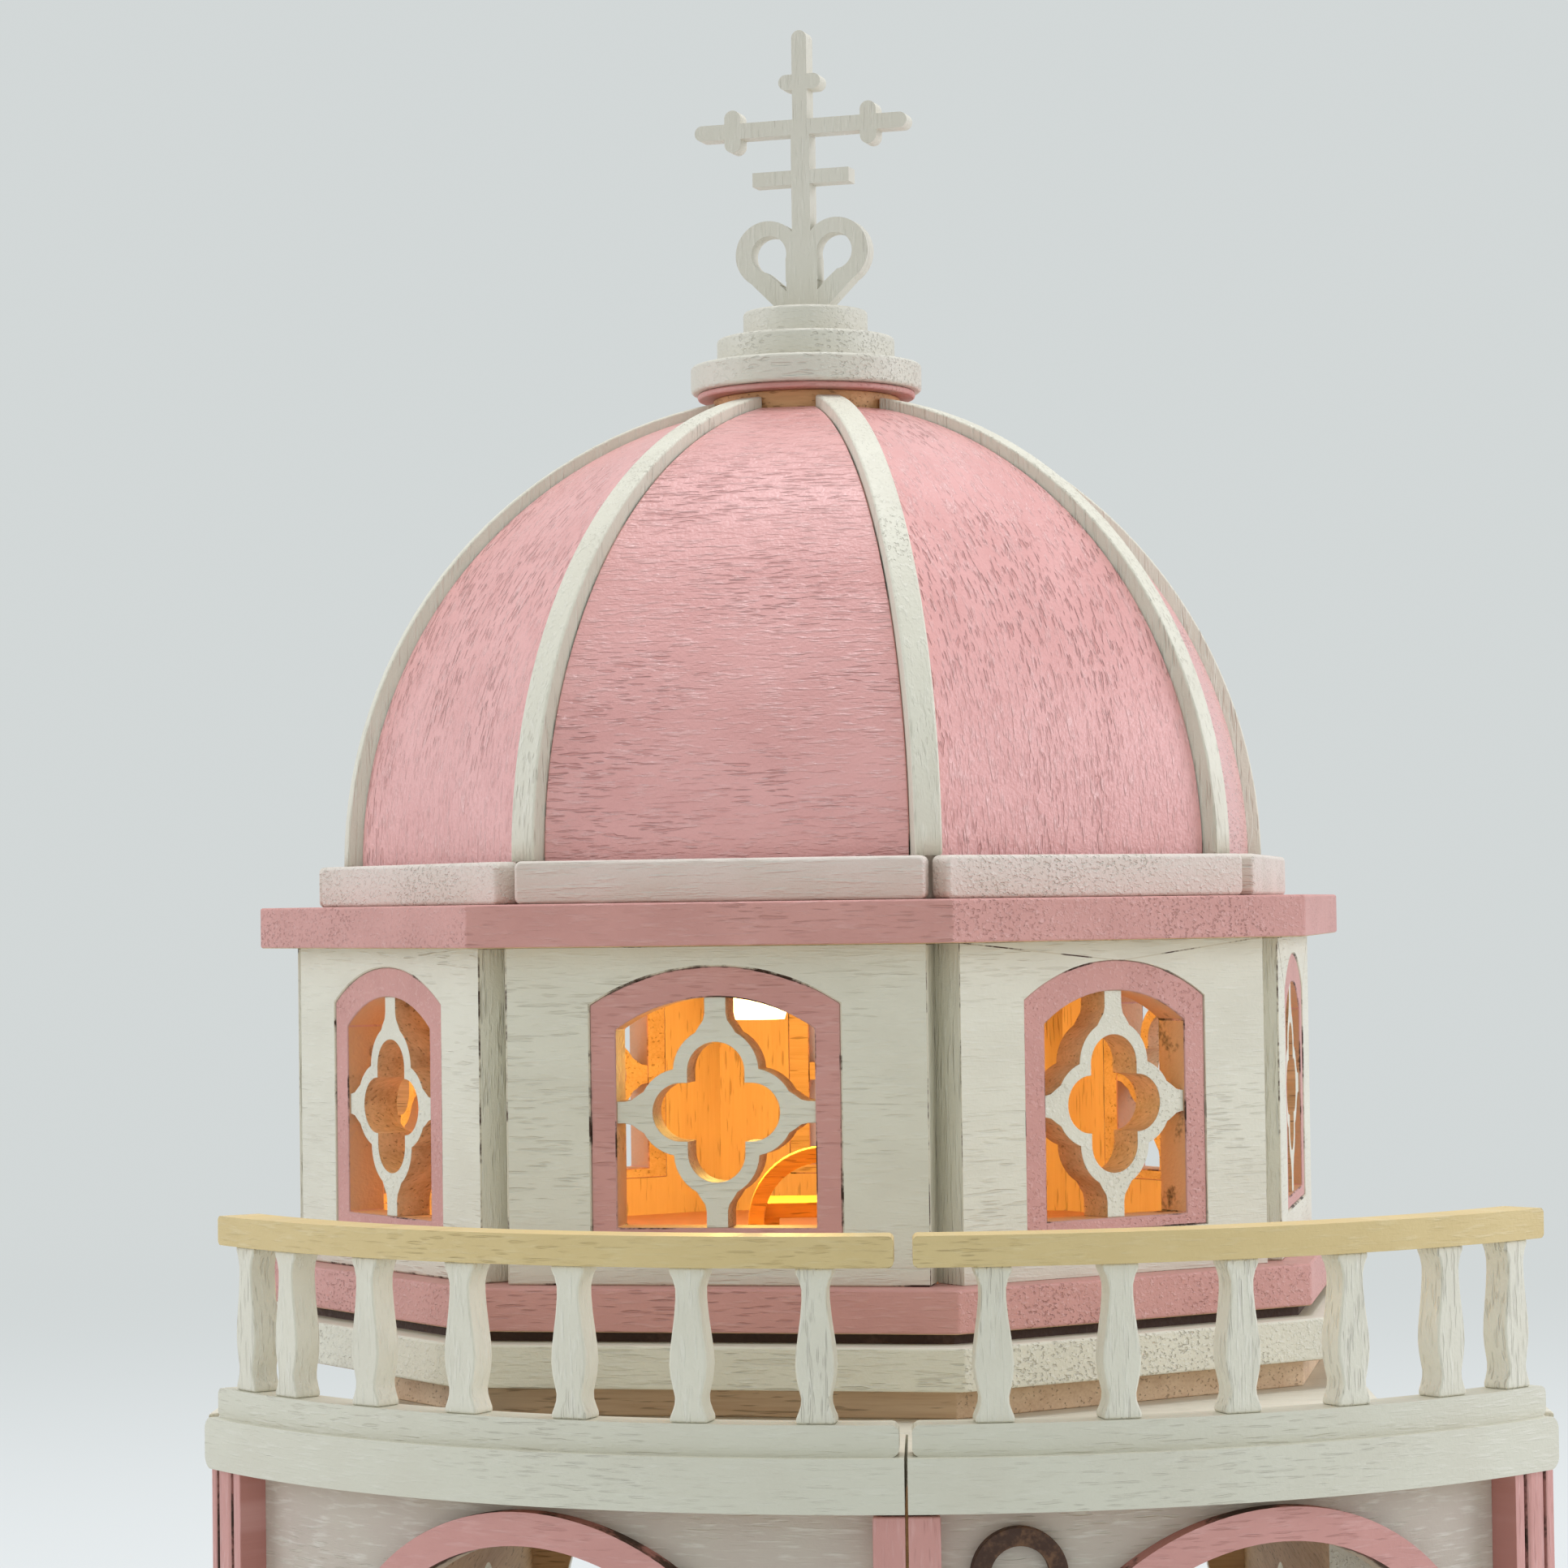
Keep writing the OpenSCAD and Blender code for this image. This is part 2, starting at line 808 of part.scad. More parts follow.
module cap_underlay() {
    color("#d99aa2")
        on_axis(cap_z)
            cylinder(h = under_t, r = cap_r - 0.5);
}

// One of the three stepped discs, counted from below
module cap_disc(i) {
    on_axis(discs_z + i * disc_t)
        cylinder(h = disc_t, r = cap_r - i * cap_step);
}

module cap_disc_low() { color("#ecebe4") cap_disc(0); }
module cap_disc_middle() { color("#ecebe4") cap_disc(1); }

// The top disc holds the finial's tab in a slot
module cap_disc_top() {
    color("#ecebe4")
        difference() {
            cap_disc(2);
            on_axis(cross_z - tab_h - fit)
                rotate([0, 0, cross_turn])
                    translate([-1.5 - fit, -cross_t / 2 - fit / 2, 0])
                        cube([3 + 2 * fit, cross_t + fit, tab_h + 1]);
        }
}

// A straight bar with round ends between two points
module bar_2d(p, q, w) {
    d = q - p;
    translate(p) {
        circle(w / 2);
        rotate(atan2(d[1], d[0]))
            translate([0, -w / 2])
                square([norm(d), w]);
    }
    translate(q)
        circle(w / 2);
}

// One half of the heart scroll: a round lobe drawn down to the foot
module scroll_2d() {
    lobe = [2.75, 4.55];
    difference() {
        union() {
            translate(lobe)
                circle(2.6);
            bar_2d([4.02, 3.3], [1.4, 0.7], 1.5);
            bar_2d([0.6, 0.8], [0.6, 5], 1.3);
        }
        translate(lobe + [-0.1, 0])
            circle(1.42);
        polygon([[1.3, 4.3], [3.5, 3.7], [1.3, 1.8]]);
    }
}

module cross_2d() {
    bar_z = 14.3;
    short_z = 10.4;
    half = cross_w / 2 - 0.6;
    for (s = [0, 1])
        mirror([s, 0]) {
            scroll_2d();
            bar_2d([0, bar_z], [half, bar_z], 1.2);
            bar_2d([half - 2.5, bar_z - 1], [half - 2.5, bar_z + 1], 1.3);
            bar_2d([0, cross_h - 4], [1.1, cross_h - 4], 1.2);
        }
    translate([-3.9, short_z - 0.55])
        square([7.8, 1.1]);
    translate([-0.75, -tab_h])
        square([1.5, bar_z + tab_h]);
    bar_2d([0, bar_z], [0, cross_h - 0.6], 1.2);
    translate([-1.5, -tab_h])
        square([3, tab_h + 0.6]);
    translate([-2, 0])
        square([4, 0.9]);
}

module cross_finial() {
    color("#ecebe4")
        on_axis(cross_z)
            rotate([0, 0, cross_turn])
                translate([0, cross_t / 2, 0])
                    rotate([90, 0, 0])
                        linear_extrude(cross_t)
                            cross_2d();
}

module ceiling_lamp() {
    color("#ffd58a")
        on_axis(cornice_z - 6) {
            translate([-4.2, -1, 0])
                cylinder(h = 6, r1 = 2, r2 = 3.8);
        }
}

module battery_box() {
    color("#4a4a4a")
        on_axis(ring_z) {
            cylinder(h = 5.5, r = 11);
            translate([11 - eps, -3, 0])
                cube([4, 6, 4]);
        }
}

// ---------- node table ----------

left_a = -bow_left;
left_post = -bow_left + post_a;
right_a = bow_right;
right_post = bow_right - post_a;

base_plate();
side_walls();
back_wall();
side_trims();
core_slab();
hinge_pins();
plinth_riser();
plinth_band();
plinth_spacer();
door_wall(left_post, -seam, -arch_left);  // door_wall_left
door_trim(left_post, -seam, -arch_left);  // door_trim_left
door_post(left_a, left_post, -pin_left);  // door_post_left
door_stile(-2.1, -fine_seam);  // door_stile_left
door_floor(left_a, -fine_seam, -pin_left);  // door_floor_left
fascia(left_a, -fine_seam, -1);  // fascia_left
low_rail(left_a + 0.7, -low_seam);  // low_rail_left
balusters(left_angles);  // balusters_left
handrail(left_a + 1.1, -rail_seam);  // handrail_left
door_wall(seam, right_post, arch_right);  // door_wall_right
door_trim(seam, right_post, arch_right);  // door_trim_right
door_post(right_post, right_a, pin_right);  // door_post_right
door_stile(fine_seam, 2.1);  // door_stile_right
door_floor(fine_seam, right_a, pin_right);  // door_floor_right
fascia(fine_seam, right_a, 1);  // fascia_right
low_rail(low_seam, right_a - 0.4);  // low_rail_right
balusters(right_angles);  // balusters_right
handrail(rail_seam, right_a - 0.4);  // handrail_right
wall_ring();
pavilion_floor();
wall_panel(0);  // wall_front
wall_panel(1);  // wall_front_right
wall_panel(2);  // wall_right
wall_panel(3);  // wall_back_right
wall_panel(4);  // wall_back
wall_panel(5);  // wall_back_left
wall_panel(6);  // wall_left
wall_panel(7);  // wall_front_left
window_frames();
window_tracery();
hoop_chair();
cornice();
roof_locator();
ring_strips();
dome_ribs();
gore(0);  // gore_front
gore(1);  // gore_front_right
gore(2);  // gore_right
gore(3);  // gore_back_right
gore(4);  // gore_back
gore(5);  // gore_back_left
gore(6);  // gore_left
gore(7);  // gore_front_left
dome_collar();
cap_underlay();
cap_disc_low();
cap_disc_middle();
cap_disc_top();
cross_finial();
ceiling_lamp();
battery_box();
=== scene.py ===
"""Looks of the domed plywood pavilion: painted and bare plywood, its warm lamp, the studio and the camera.

Every plate is a copy of its CAD node with its edges softened as sanded paint softens them, and the dome's
bent panels are surfaces worked out from two parameters. All lengths are metres in the model's own frame.
"""

from __future__ import annotations

import json
import logging
import math
from dataclasses import dataclass, field
from enum import Enum
from typing import Any, Callable, Sequence

import bmesh
import bpy
import numpy as np
from mathutils import Matrix, Vector

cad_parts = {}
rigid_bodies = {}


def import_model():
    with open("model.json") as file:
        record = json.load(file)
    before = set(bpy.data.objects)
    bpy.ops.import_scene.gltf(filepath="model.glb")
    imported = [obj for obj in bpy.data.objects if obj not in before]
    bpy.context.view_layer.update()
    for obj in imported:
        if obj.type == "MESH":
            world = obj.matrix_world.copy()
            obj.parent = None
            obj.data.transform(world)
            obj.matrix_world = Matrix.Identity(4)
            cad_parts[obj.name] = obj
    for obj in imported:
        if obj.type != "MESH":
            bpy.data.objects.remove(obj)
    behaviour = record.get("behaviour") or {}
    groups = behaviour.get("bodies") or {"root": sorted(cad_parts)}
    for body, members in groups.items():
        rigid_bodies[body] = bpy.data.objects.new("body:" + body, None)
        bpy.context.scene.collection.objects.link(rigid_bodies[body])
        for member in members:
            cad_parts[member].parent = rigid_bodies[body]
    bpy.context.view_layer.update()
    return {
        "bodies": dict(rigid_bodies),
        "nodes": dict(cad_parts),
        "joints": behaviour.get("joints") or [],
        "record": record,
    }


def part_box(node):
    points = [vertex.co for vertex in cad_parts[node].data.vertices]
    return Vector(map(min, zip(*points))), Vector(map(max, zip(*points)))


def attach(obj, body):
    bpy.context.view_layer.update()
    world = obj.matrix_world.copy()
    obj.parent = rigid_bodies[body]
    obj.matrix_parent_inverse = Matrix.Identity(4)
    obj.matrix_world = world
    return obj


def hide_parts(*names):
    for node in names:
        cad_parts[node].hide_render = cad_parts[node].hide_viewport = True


LOG = logging.getLogger("pavilion")
MM = 0.001
BOW_RADIUS = 59 * MM  # turns an angle about the origin into a length along the bow
FACING = 0.7  # the least cosine between a face's normal and the way it is said to face
Colour = tuple[float, float, float]
Sorter = Callable[[np.ndarray, np.ndarray], np.ndarray]


# ---------------------------------------------------------------- shader maths


class Sock:
    """A number socket of a shader; Python's operators on it add Math nodes."""

    def __init__(self, shader: "Shader", socket: Any) -> None:
        """Wraps an output socket.

        Args:
            shader: the shader that the socket belongs to.
            socket: the output socket of a node.
        """
        self.shader = shader
        self.socket = socket

    def _math(self, operation: str, *values: Any) -> "Sock":
        """One Math node on these values, in order."""
        inputs = dict(enumerate(values))
        return self.shader.node("ShaderNodeMath", {"operation": operation}, inputs)

    def __add__(self, other: Any) -> "Sock":
        """self + other."""
        return self._math("ADD", self, other)

    def __sub__(self, other: Any) -> "Sock":
        """self - other."""
        return self._math("SUBTRACT", self, other)

    def __rsub__(self, other: Any) -> "Sock":
        """other - self."""
        return self._math("SUBTRACT", other, self)

    def __mul__(self, other: Any) -> "Sock":
        """self * other."""
        return self._math("MULTIPLY", self, other)

    __radd__ = __add__
    __rmul__ = __mul__

    def angle_from(self, other: Any) -> "Sock":
        """The angle whose tangent is self over other."""
        return self._math("ARCTAN2", self, other)

    def ramp(self, low: float, high: float) -> "Sock":
        """Smoothly 0 below low and 1 above high."""
        settings = {"interpolation_type": "SMOOTHSTEP"}
        inputs = {"Value": self, "From Min": low, "From Max": high}
        return self.shader.node("ShaderNodeMapRange", settings, inputs)


class Shader:
    """Builds one material around a Principled BSDF."""

    def __init__(self, name: str) -> None:
        """Starts an empty material.

        Args:
            name: the finish's name.
        """
        self.material = bpy.data.materials.new(name)
        self.material.use_nodes = True
        self.tree = self.material.node_tree
        self.tree.nodes.clear()
        output = self.tree.nodes.new("ShaderNodeOutputMaterial")
        self.surface = self.tree.nodes.new("ShaderNodeBsdfPrincipled")
        self.tree.links.new(self.surface.outputs["BSDF"], output.inputs["Surface"])

    def feed(self, node: Any, key: Any, value: Any) -> None:
        """Links value to a node's input, or sets it there.

        Args:
            node: the node.
            key: the input's name or number.
            value: a Sock or a plain value.
        """
        if isinstance(value, Sock):
            self.tree.links.new(value.socket, node.inputs[key])
        else:
            node.inputs[key].default_value = value

    def node(self, kind: str, settings: dict[str, Any], inputs: dict[Any, Any], out: Any = 0) -> Sock:
        """Adds any node.

        Args:
            kind: the node's type.
            settings: its properties, set before its inputs.
            inputs: values or links of its input sockets.
            out: the output to return, by name or number.

        Returns:
            The chosen output.
        """
        node = self.tree.nodes.new(kind)
        for name, value in settings.items():
            setattr(node, name, value)
        for key, value in inputs.items():
            self.feed(node, key, value)
        return Sock(self, node.outputs[out])

    def noise(self, place: Sock, scale: Sequence[float], detail: float = 2.0, seed: float = 0.0) -> Sock:
        """Noise stretched by scale, in cells per metre along each axis.

        Args:
            place: the coordinates.
            scale: cells per metre along the three axes.
            detail: octaves beyond the first.
            seed: moves the pattern to another part of the noise.

        Returns:
            The noise's value, from 0 to 1.
        """
        mapping = {"Vector": place, "Scale": tuple(scale), "Location": (seed, seed * 1.7, seed * 0.3)}
        placed = self.node("ShaderNodeMapping", {}, mapping)
        inputs = {"Vector": placed, "Scale": 1.0, "Detail": detail, "Roughness": 0.55}
        return self.node("ShaderNodeTexNoise", {}, inputs)

    def blend(self, share: Any, first: Any, second: Any) -> Sock:
        """Mixes two colours, the share being that of the second."""
        inputs = {0: share, 6: self.paint(first), 7: self.paint(second)}
        return self.node("ShaderNodeMix", {"data_type": "RGBA"}, inputs, 2)

    @staticmethod
    def paint(colour: Any) -> Any:
        """A colour with its alpha, or a link as it is."""
        return colour if isinstance(colour, Sock) else (*colour, 1.0)

    def surface_of(self, **inputs: Any) -> bpy.types.Material:
        """Feeds the Principled BSDF, with underscores for the spaces in its inputs' names.

        Args:
            **inputs: values or links.

        Returns:
            The finished material.
        """
        for name, value in inputs.items():
            self.feed(self.surface, name.replace("_", " "), value)
        return self.material

    def bump(self, height: Sock, depth: float, strength: float = 1.0) -> Sock:
        """A normal bent by height, whose full range is depth metres."""
        inputs = {"Height": height, "Distance": depth, "Strength": strength}
        return self.node("ShaderNodeBump", {}, inputs)


class Flow(Enum):
    """Where a pattern's three coordinates come from."""

    FLAT = "flat"  # the model's axes, turned about Z to lie along a panel
    BENT = "bent"  # along, through and up a wall bent round the origin's axis
    SHEET = "sheet"  # along, up: the piece's own map, for veneer that is bent over the dome


@dataclass(frozen=True)
class Lay:
    """How a sheet's grain lies on a piece."""

    flow: Flow = Flow.FLAT
    turn: float = 0.0
    upright: bool = False

    def place(self, shader: Shader) -> Sock:
        """The coordinates that a pattern uses, in metres.

        Args:
            shader: the shader to add the nodes to.

        Returns:
            A vector whose X runs along the grain unless the grain is upright.
        """
        if self.flow is Flow.SHEET:
            return shader.node("ShaderNodeUVMap", {"uv_map": "sheet"}, {})
        place = shader.node("ShaderNodeTexCoord", {}, {}, "Object")
        if self.flow is Flow.BENT:
            inputs = {0: place}
            x = shader.node("ShaderNodeSeparateXYZ", {}, inputs, 0)
            y = Sock(shader, x.socket.node.outputs[1])
            z = Sock(shader, x.socket.node.outputs[2])
            along = x.angle_from(y * -1.0) * BOW_RADIUS
            return shader.node("ShaderNodeCombineXYZ", {}, {0: along, 1: 0.0, 2: z})
        turned = {"Vector": place, "Rotation": (0.0, 0.0, -self.turn)}
        return shader.node("ShaderNodeMapping", {}, turned)

    def scale(self, along: float, across: float) -> tuple[float, float, float]:
        """Cells per metre on the three axes for a pattern stretched along the grain."""
        if self.flow is Flow.SHEET:
            return (across, along, 1.0) if self.upright else (along, across, 1.0)
        return (across, across, along) if self.upright else (along, across, across)


# ---------------------------------------------------------------- finishes


@dataclass(frozen=True)
class PaintedPly:
    """Thin satin paint over open-grained plywood: pores, raised streaks and a faint mottle show through."""

    name: str
    colour: Colour
    shade: Colour
    light: Colour
    lay: Lay = Lay()
    gloss: float = 0.5
    pores: float = 0.5
    streaks: float = 0.35
    relief: float = 0.05
    coat: float = 0.0
    short: float = 1.0

    # Each pattern's cells per metre along and across the grain
    GATHER = (60, 140)
    PORE = (420, 4300)
    STREAK = (430, 3300)
    MOTTLE = (150, 260)
    SPECK = (3600, 3900)

    def make(self) -> bpy.types.Material:
        """Builds the material.

        Short dark pores and long pale streaks are stretched noises cut at a level; a slow noise decides
        where they gather; a fine one roughens the paint. A higher short makes pores and streaks shorter.
        """
        shader = Shader(self.name)
        place = self.lay.place(shader)
        gather = shader.noise(place, self.lay.scale(*self.GATHER), 1.0, 3.1).ramp(0.38, 0.62)
        pore_cells = self.lay.scale(self.PORE[0] * self.short, self.PORE[1])
        pore = shader.noise(place, pore_cells, 1.0, 7.7).ramp(0.56, 0.70)
        pore = pore * (gather * 0.8 + 0.2)
        streak_cells = self.lay.scale(self.STREAK[0] * self.short, self.STREAK[1])
        streak = shader.noise(place, streak_cells, 2.0, 1.3).ramp(0.50, 0.74)
        mottle = shader.noise(place, self.lay.scale(*self.MOTTLE), 3.0, 5.9)
        speck = shader.noise(place, self.lay.scale(*self.SPECK), 2.0, 9.2)
        colour = shader.blend(mottle.ramp(0.3, 0.75) * 0.35, self.colour, self.shade)
        colour = shader.blend(streak * self.streaks, colour, self.light)
        colour = shader.blend(pore * self.pores, colour, self.shade)
        height = streak * 0.55 - pore * 0.9 + speck * 0.45 + mottle * 0.4
        rough = speck * 0.22 + (self.gloss - 0.11) - streak * 0.10
        return shader.surface_of(
            Base_Color=colour,
            Roughness=rough,
            Normal=shader.bump(height, self.relief * MM),
            Coat_Weight=self.coat,
            Coat_Roughness=0.3,
        )


@dataclass(frozen=True)
class BarePly:
    """Bare birch plywood: soft bands, fine fibres and small dark pores."""

    name: str
    pale: Colour = (0.74, 0.53, 0.30)
    deep: Colour = (0.50, 0.31, 0.14)
    lay: Lay = Lay()
    gloss: float = 0.62

    # Each pattern's cells per metre along and across the grain
    BAND = (35, 420)
    FIBRE = (220, 5200)
    PORE = (380, 4600)

    def make(self) -> bpy.types.Material:
        """Builds the material from a slow banding noise and a fine fibre noise, both along the grain."""
        shader = Shader(self.name)
        place = self.lay.place(shader)
        band = shader.noise(place, self.lay.scale(*self.BAND), 3.0, 2.2)
        fibre = shader.noise(place, self.lay.scale(*self.FIBRE), 2.0, 6.4)
        pore = shader.noise(place, self.lay.scale(*self.PORE), 1.0, 8.8).ramp(0.62, 0.72)
        share = band.ramp(0.35, 0.7) * 0.55 + fibre.ramp(0.35, 0.75) * 0.35
        colour = shader.blend(share, self.pale, self.deep)
        colour = shader.blend(pore * 0.6, colour, tuple(c * 0.55 for c in self.deep))
        height = fibre * 0.6 - pore
        return shader.surface_of(
            Base_Color=colour,
            Roughness=fibre * 0.15 + (self.gloss - 0.07),
            Normal=shader.bump(height, 0.04 * MM),
        )


@dataclass(frozen=True)
class BurntEdge:
    """An edge the laser cut: brown char that paint has partly covered."""

    name: str
    paint: Colour
    char: Colour = (0.055, 0.022, 0.010)
    cover: float = 0.5

    def make(self) -> bpy.types.Material:
        """Builds the material: a noise decides where char shows, cover being the paint's share."""
        shader = Shader(self.name)
        place = Lay().place(shader)
        wander = shader.noise(place, (240, 240, 240), 3.0, 4.1)
        grit = shader.noise(place, (3200, 3200, 3200), 2.0, 2.7)
        bare = (wander + grit * 0.25).ramp(self.cover, self.cover + 0.16)
        colour = shader.blend(bare, self.paint, self.char)
        return shader.surface_of(
            Base_Color=colour,
            Roughness=grit * 0.3 + 0.5,
            Normal=shader.bump(grit, 0.05 * MM),
        )


@dataclass(frozen=True)
class Moulded:
    """Fine-grained moulded plastic or drawn metal."""

    name: str
    colour: Colour
    gloss: float = 0.45
    metal: float = 0.0

    def make(self) -> bpy.types.Material:
        """Builds the material: a fine noise varies its tone, its roughness and its surface."""
        shader = Shader(self.name)
        grit = shader.noise(Lay().place(shader), (2600, 2600, 900), 2.0, 1.9)
        colour = shader.blend(grit * 0.5, self.colour, tuple(c * 0.72 for c in self.colour))
        return shader.surface_of(
            Base_Color=colour,
            Roughness=grit * 0.2 + (self.gloss - 0.1),
            Metallic=self.metal,
            Normal=shader.bump(grit, 0.015 * MM),
        )


@dataclass(frozen=True)
class WarmLamp:
    """The lit cap of a small warm lamp."""

    name: str
    glow: Colour = (1.0, 0.62, 0.20)
    power: float = 5.0

    def make(self) -> bpy.types.Material:
        """Builds the material: the glow is palest where a soft noise is high."""
        shader = Shader(self.name)
        cloud = shader.noise(Lay().place(shader), (420, 420, 420), 1.0, 0.4)
        colour = shader.blend(cloud * 0.6, self.glow, (1.0, 0.86, 0.55))
        return shader.surface_of(
            Base_Color=(0.9, 0.7, 0.4, 1.0),
            Roughness=0.35,
            Emission_Color=colour,
            Emission_Strength=self.power,
        )


class Paints:
    """The paint box: every finish by its use, each made once."""

    WHITE: Colour = (0.775, 0.75, 0.63)
    WHITE_SHADE: Colour = (0.62, 0.58, 0.47)
    WHITE_LIGHT: Colour = (0.86, 0.84, 0.75)
    RAIL: Colour = (0.69, 0.675, 0.56)
    DISC: Colour = (0.70, 0.675, 0.585)
    # off-white with painted pink bounce light from the dome and cornice mixed into it
    WHITE_PINK_BOUNCE: Colour = (0.775, 0.695, 0.625)
    # off-white darkened with painted shade, for the shade the balcony slab casts on the lower wall
    LOWER_PAINTED_SHADE: Colour = (0.545, 0.465, 0.395)
    PINK: Colour = (0.66, 0.33, 0.295)
    PINK_SHADE: Colour = (0.50, 0.225, 0.195)
    PINK_LIGHT: Colour = (0.78, 0.46, 0.43)
    ROSE: Colour = (0.50, 0.215, 0.18)
    DOME: Colour = (0.83, 0.43, 0.41)
    DOME_SHADE: Colour = (0.64, 0.27, 0.25)
    DOME_LIGHT: Colour = (0.93, 0.62, 0.60)
    STRAW: Colour = (0.71, 0.555, 0.27)
    STRAW_SHADE: Colour = (0.58, 0.43, 0.18)
    STRAW_LIGHT: Colour = (0.79, 0.66, 0.38)

    def __init__(self) -> None:
        """Starts with nothing mixed."""
        self.mixed: dict[str, bpy.types.Material] = {}

    def get(self, finish: Any) -> bpy.types.Material:
        """The material of a finish, made on first use."""
        if finish.name not in self.mixed:
            self.mixed[finish.name] = finish.make()
        return self.mixed[finish.name]

    def white(self, name: str, lay: Lay, **changes: Any) -> bpy.types.Material:
        """Off-white paint on a sheet laid as given."""
        facts = {"colour": self.WHITE, "shade": self.WHITE_SHADE, "light": self.WHITE_LIGHT, **changes}
        return self.get(PaintedPly("white_" + name, lay=lay, **facts))

    def pink(self, name: str, lay: Lay, **changes: Any) -> bpy.types.Material:
        """Dusky pink paint on a sheet laid as given."""
        facts = {"colour": self.PINK, "shade": self.PINK_SHADE, "light": self.PINK_LIGHT, **changes}
        return self.get(PaintedPly("pink_" + name, lay=lay, **facts))

    def bare(self, name: str, lay: Lay, **changes: Any) -> bpy.types.Material:
        """Bare plywood laid as given."""
        return self.get(BarePly("bare_" + name, lay=lay, **changes))

    def seam(self, name: str, paint: Colour, cover: float) -> bpy.types.Material:
        """A laser-cut edge half covered by paint; for the plinth spacer it is near-black painted shade."""
        return self.get(BurntEdge("seam_" + name, paint, cover=cover))


# ---------------------------------------------------------------- the bench


class Bench:
    """Turns CAD nodes into finished pieces and keeps the count."""

    def __init__(self, frame: dict[str, Any]) -> None:
        """Reads which body and slot each node has.
        """
        self.nodes = frame["nodes"]
        record = frame["record"]
        self.slots = {s["node"]: s["material_slot"] for s in record["subparts"]}
        bodies = record["behaviour"]["bodies"]
        self.bodies = {node: body for body, members in bodies.items() for node in members}
        self.paints = Paints()
        self.done = 0

    def report(self, name: str) -> None:
        """Logs one finished piece."""
        self.done += 1
        LOG.info("piece %d: %s", self.done, name)

    def dress(self, node: str, material: bpy.types.Material) -> None:
        """Gives a CAD node, kept as it is, one finish.

        Args:
            node: the CAD node.
            material: its finish.
        """
        slots = self.nodes[node].material_slots
        for slot in slots:
            slot.material = material
        if not slots:
            self.nodes[node].data.materials.append(material)
        self.report(node)

    def settle(self, piece: bpy.types.Object, node: str) -> bpy.types.Object:
        """Links a piece to the scene in place of a CAD node, on its body."""
        bpy.context.scene.collection.objects.link(piece)
        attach(piece, self.bodies[node])
        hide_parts(node)
        self.report(piece.name)
        return piece

    def soften(
        self,
        node: str,
        finishes: Sequence[bpy.types.Material],
        sorter: Sorter | None = None,
        radius: float = 0.16 * MM,
        edge: int = -1,
        steps: int = 2,
        keep: Callable[[np.ndarray], np.ndarray] | None = None,
        flat: float = math.radians(0.4),
    ) -> bpy.types.Object:
        """Copies a CAD node, merges its triangles into whole faces and rounds its edges.

        Args:
            node: the CAD node, which the copy replaces.
            finishes: the piece's materials.
            sorter: gives each face the number of its material from the faces' normals and centres.
            radius: the rounding's width.
            edge: the number of the rounding's material, or -1 for that of its neighbours.
            steps: segments in the rounding.
            keep: says, from the middles of the edges, which of them stay sharp.
            flat: faces that meet at less than this angle become one.

        Returns:
            The finished piece.
        """
        mesh = self.nodes[node].data.copy()
        mesh.name = node + "_piece"
        form = bmesh.new()
        form.from_mesh(mesh)
        bmesh.ops.remove_doubles(form, verts=form.verts, dist=0.001 * MM)
        bmesh.ops.dissolve_degenerate(form, edges=form.edges, dist=0.002 * MM)
        bmesh.ops.dissolve_limit(form, angle_limit=flat, verts=form.verts, edges=form.edges)
        form.to_mesh(mesh)
        form.free()
        mesh.materials.clear()
        for material in finishes:
            mesh.materials.append(material)
        count = len(mesh.polygons)
        numbers = np.zeros(count, np.int32)
        if sorter is not None:
            normals = np.empty(count * 3)
            centres = np.empty(count * 3)
            mesh.polygons.foreach_get("normal", normals)
            mesh.polygons.foreach_get("center", centres)
            numbers = sorter(normals.reshape(-1, 3), centres.reshape(-1, 3)).astype(np.int32)
        mesh.polygons.foreach_set("material_index", numbers)
        mesh.polygons.foreach_set("use_smooth", np.ones(count, bool))
        mesh.set_sharp_from_angle(angle=math.radians(30))
        self.weigh_edges(mesh, keep)
        piece = bpy.data.objects.new(node + "_piece", mesh)
        rounding = piece.modifiers.new("rounding", "BEVEL")
        rounding.width = radius
        rounding.segments = steps
        rounding.limit_method = "WEIGHT"
        rounding.harden_normals = True
        rounding.material = edge
        return self.settle(piece, node)

    @staticmethod
    def weigh_edges(mesh: bpy.types.Mesh, keep: Callable[[np.ndarray], np.ndarray] | None) -> None:
        """Weighs the sharp edges for rounding, apart from those that keep picks.

        Args:
            mesh: the mesh, its sharp edges marked.
            keep: says, from the middles of the edges, which of them stay sharp.
        """
        count = len(mesh.edges)
        weight = np.zeros(count, np.float32)
        if "sharp_edge" in mesh.attributes:
            sharp = np.zeros(count, bool)
            mesh.attributes["sharp_edge"].data.foreach_get("value", sharp)
            weight = sharp.astype(np.float32)
        if keep is not None:
            ends = np.empty(count * 2, np.int32)
            mesh.edges.foreach_get("vertices", ends)
            points = np.empty(len(mesh.vertices) * 3)
            mesh.vertices.foreach_get("co", points)
            middles = points.reshape(-1, 3)[ends.reshape(-1, 2)].mean(axis=1)
            weight[keep(middles)] = 0.0
        layer = mesh.attributes.new("bevel_weight_edge", "FLOAT", "EDGE")
        layer.data.foreach_set("value", weight)

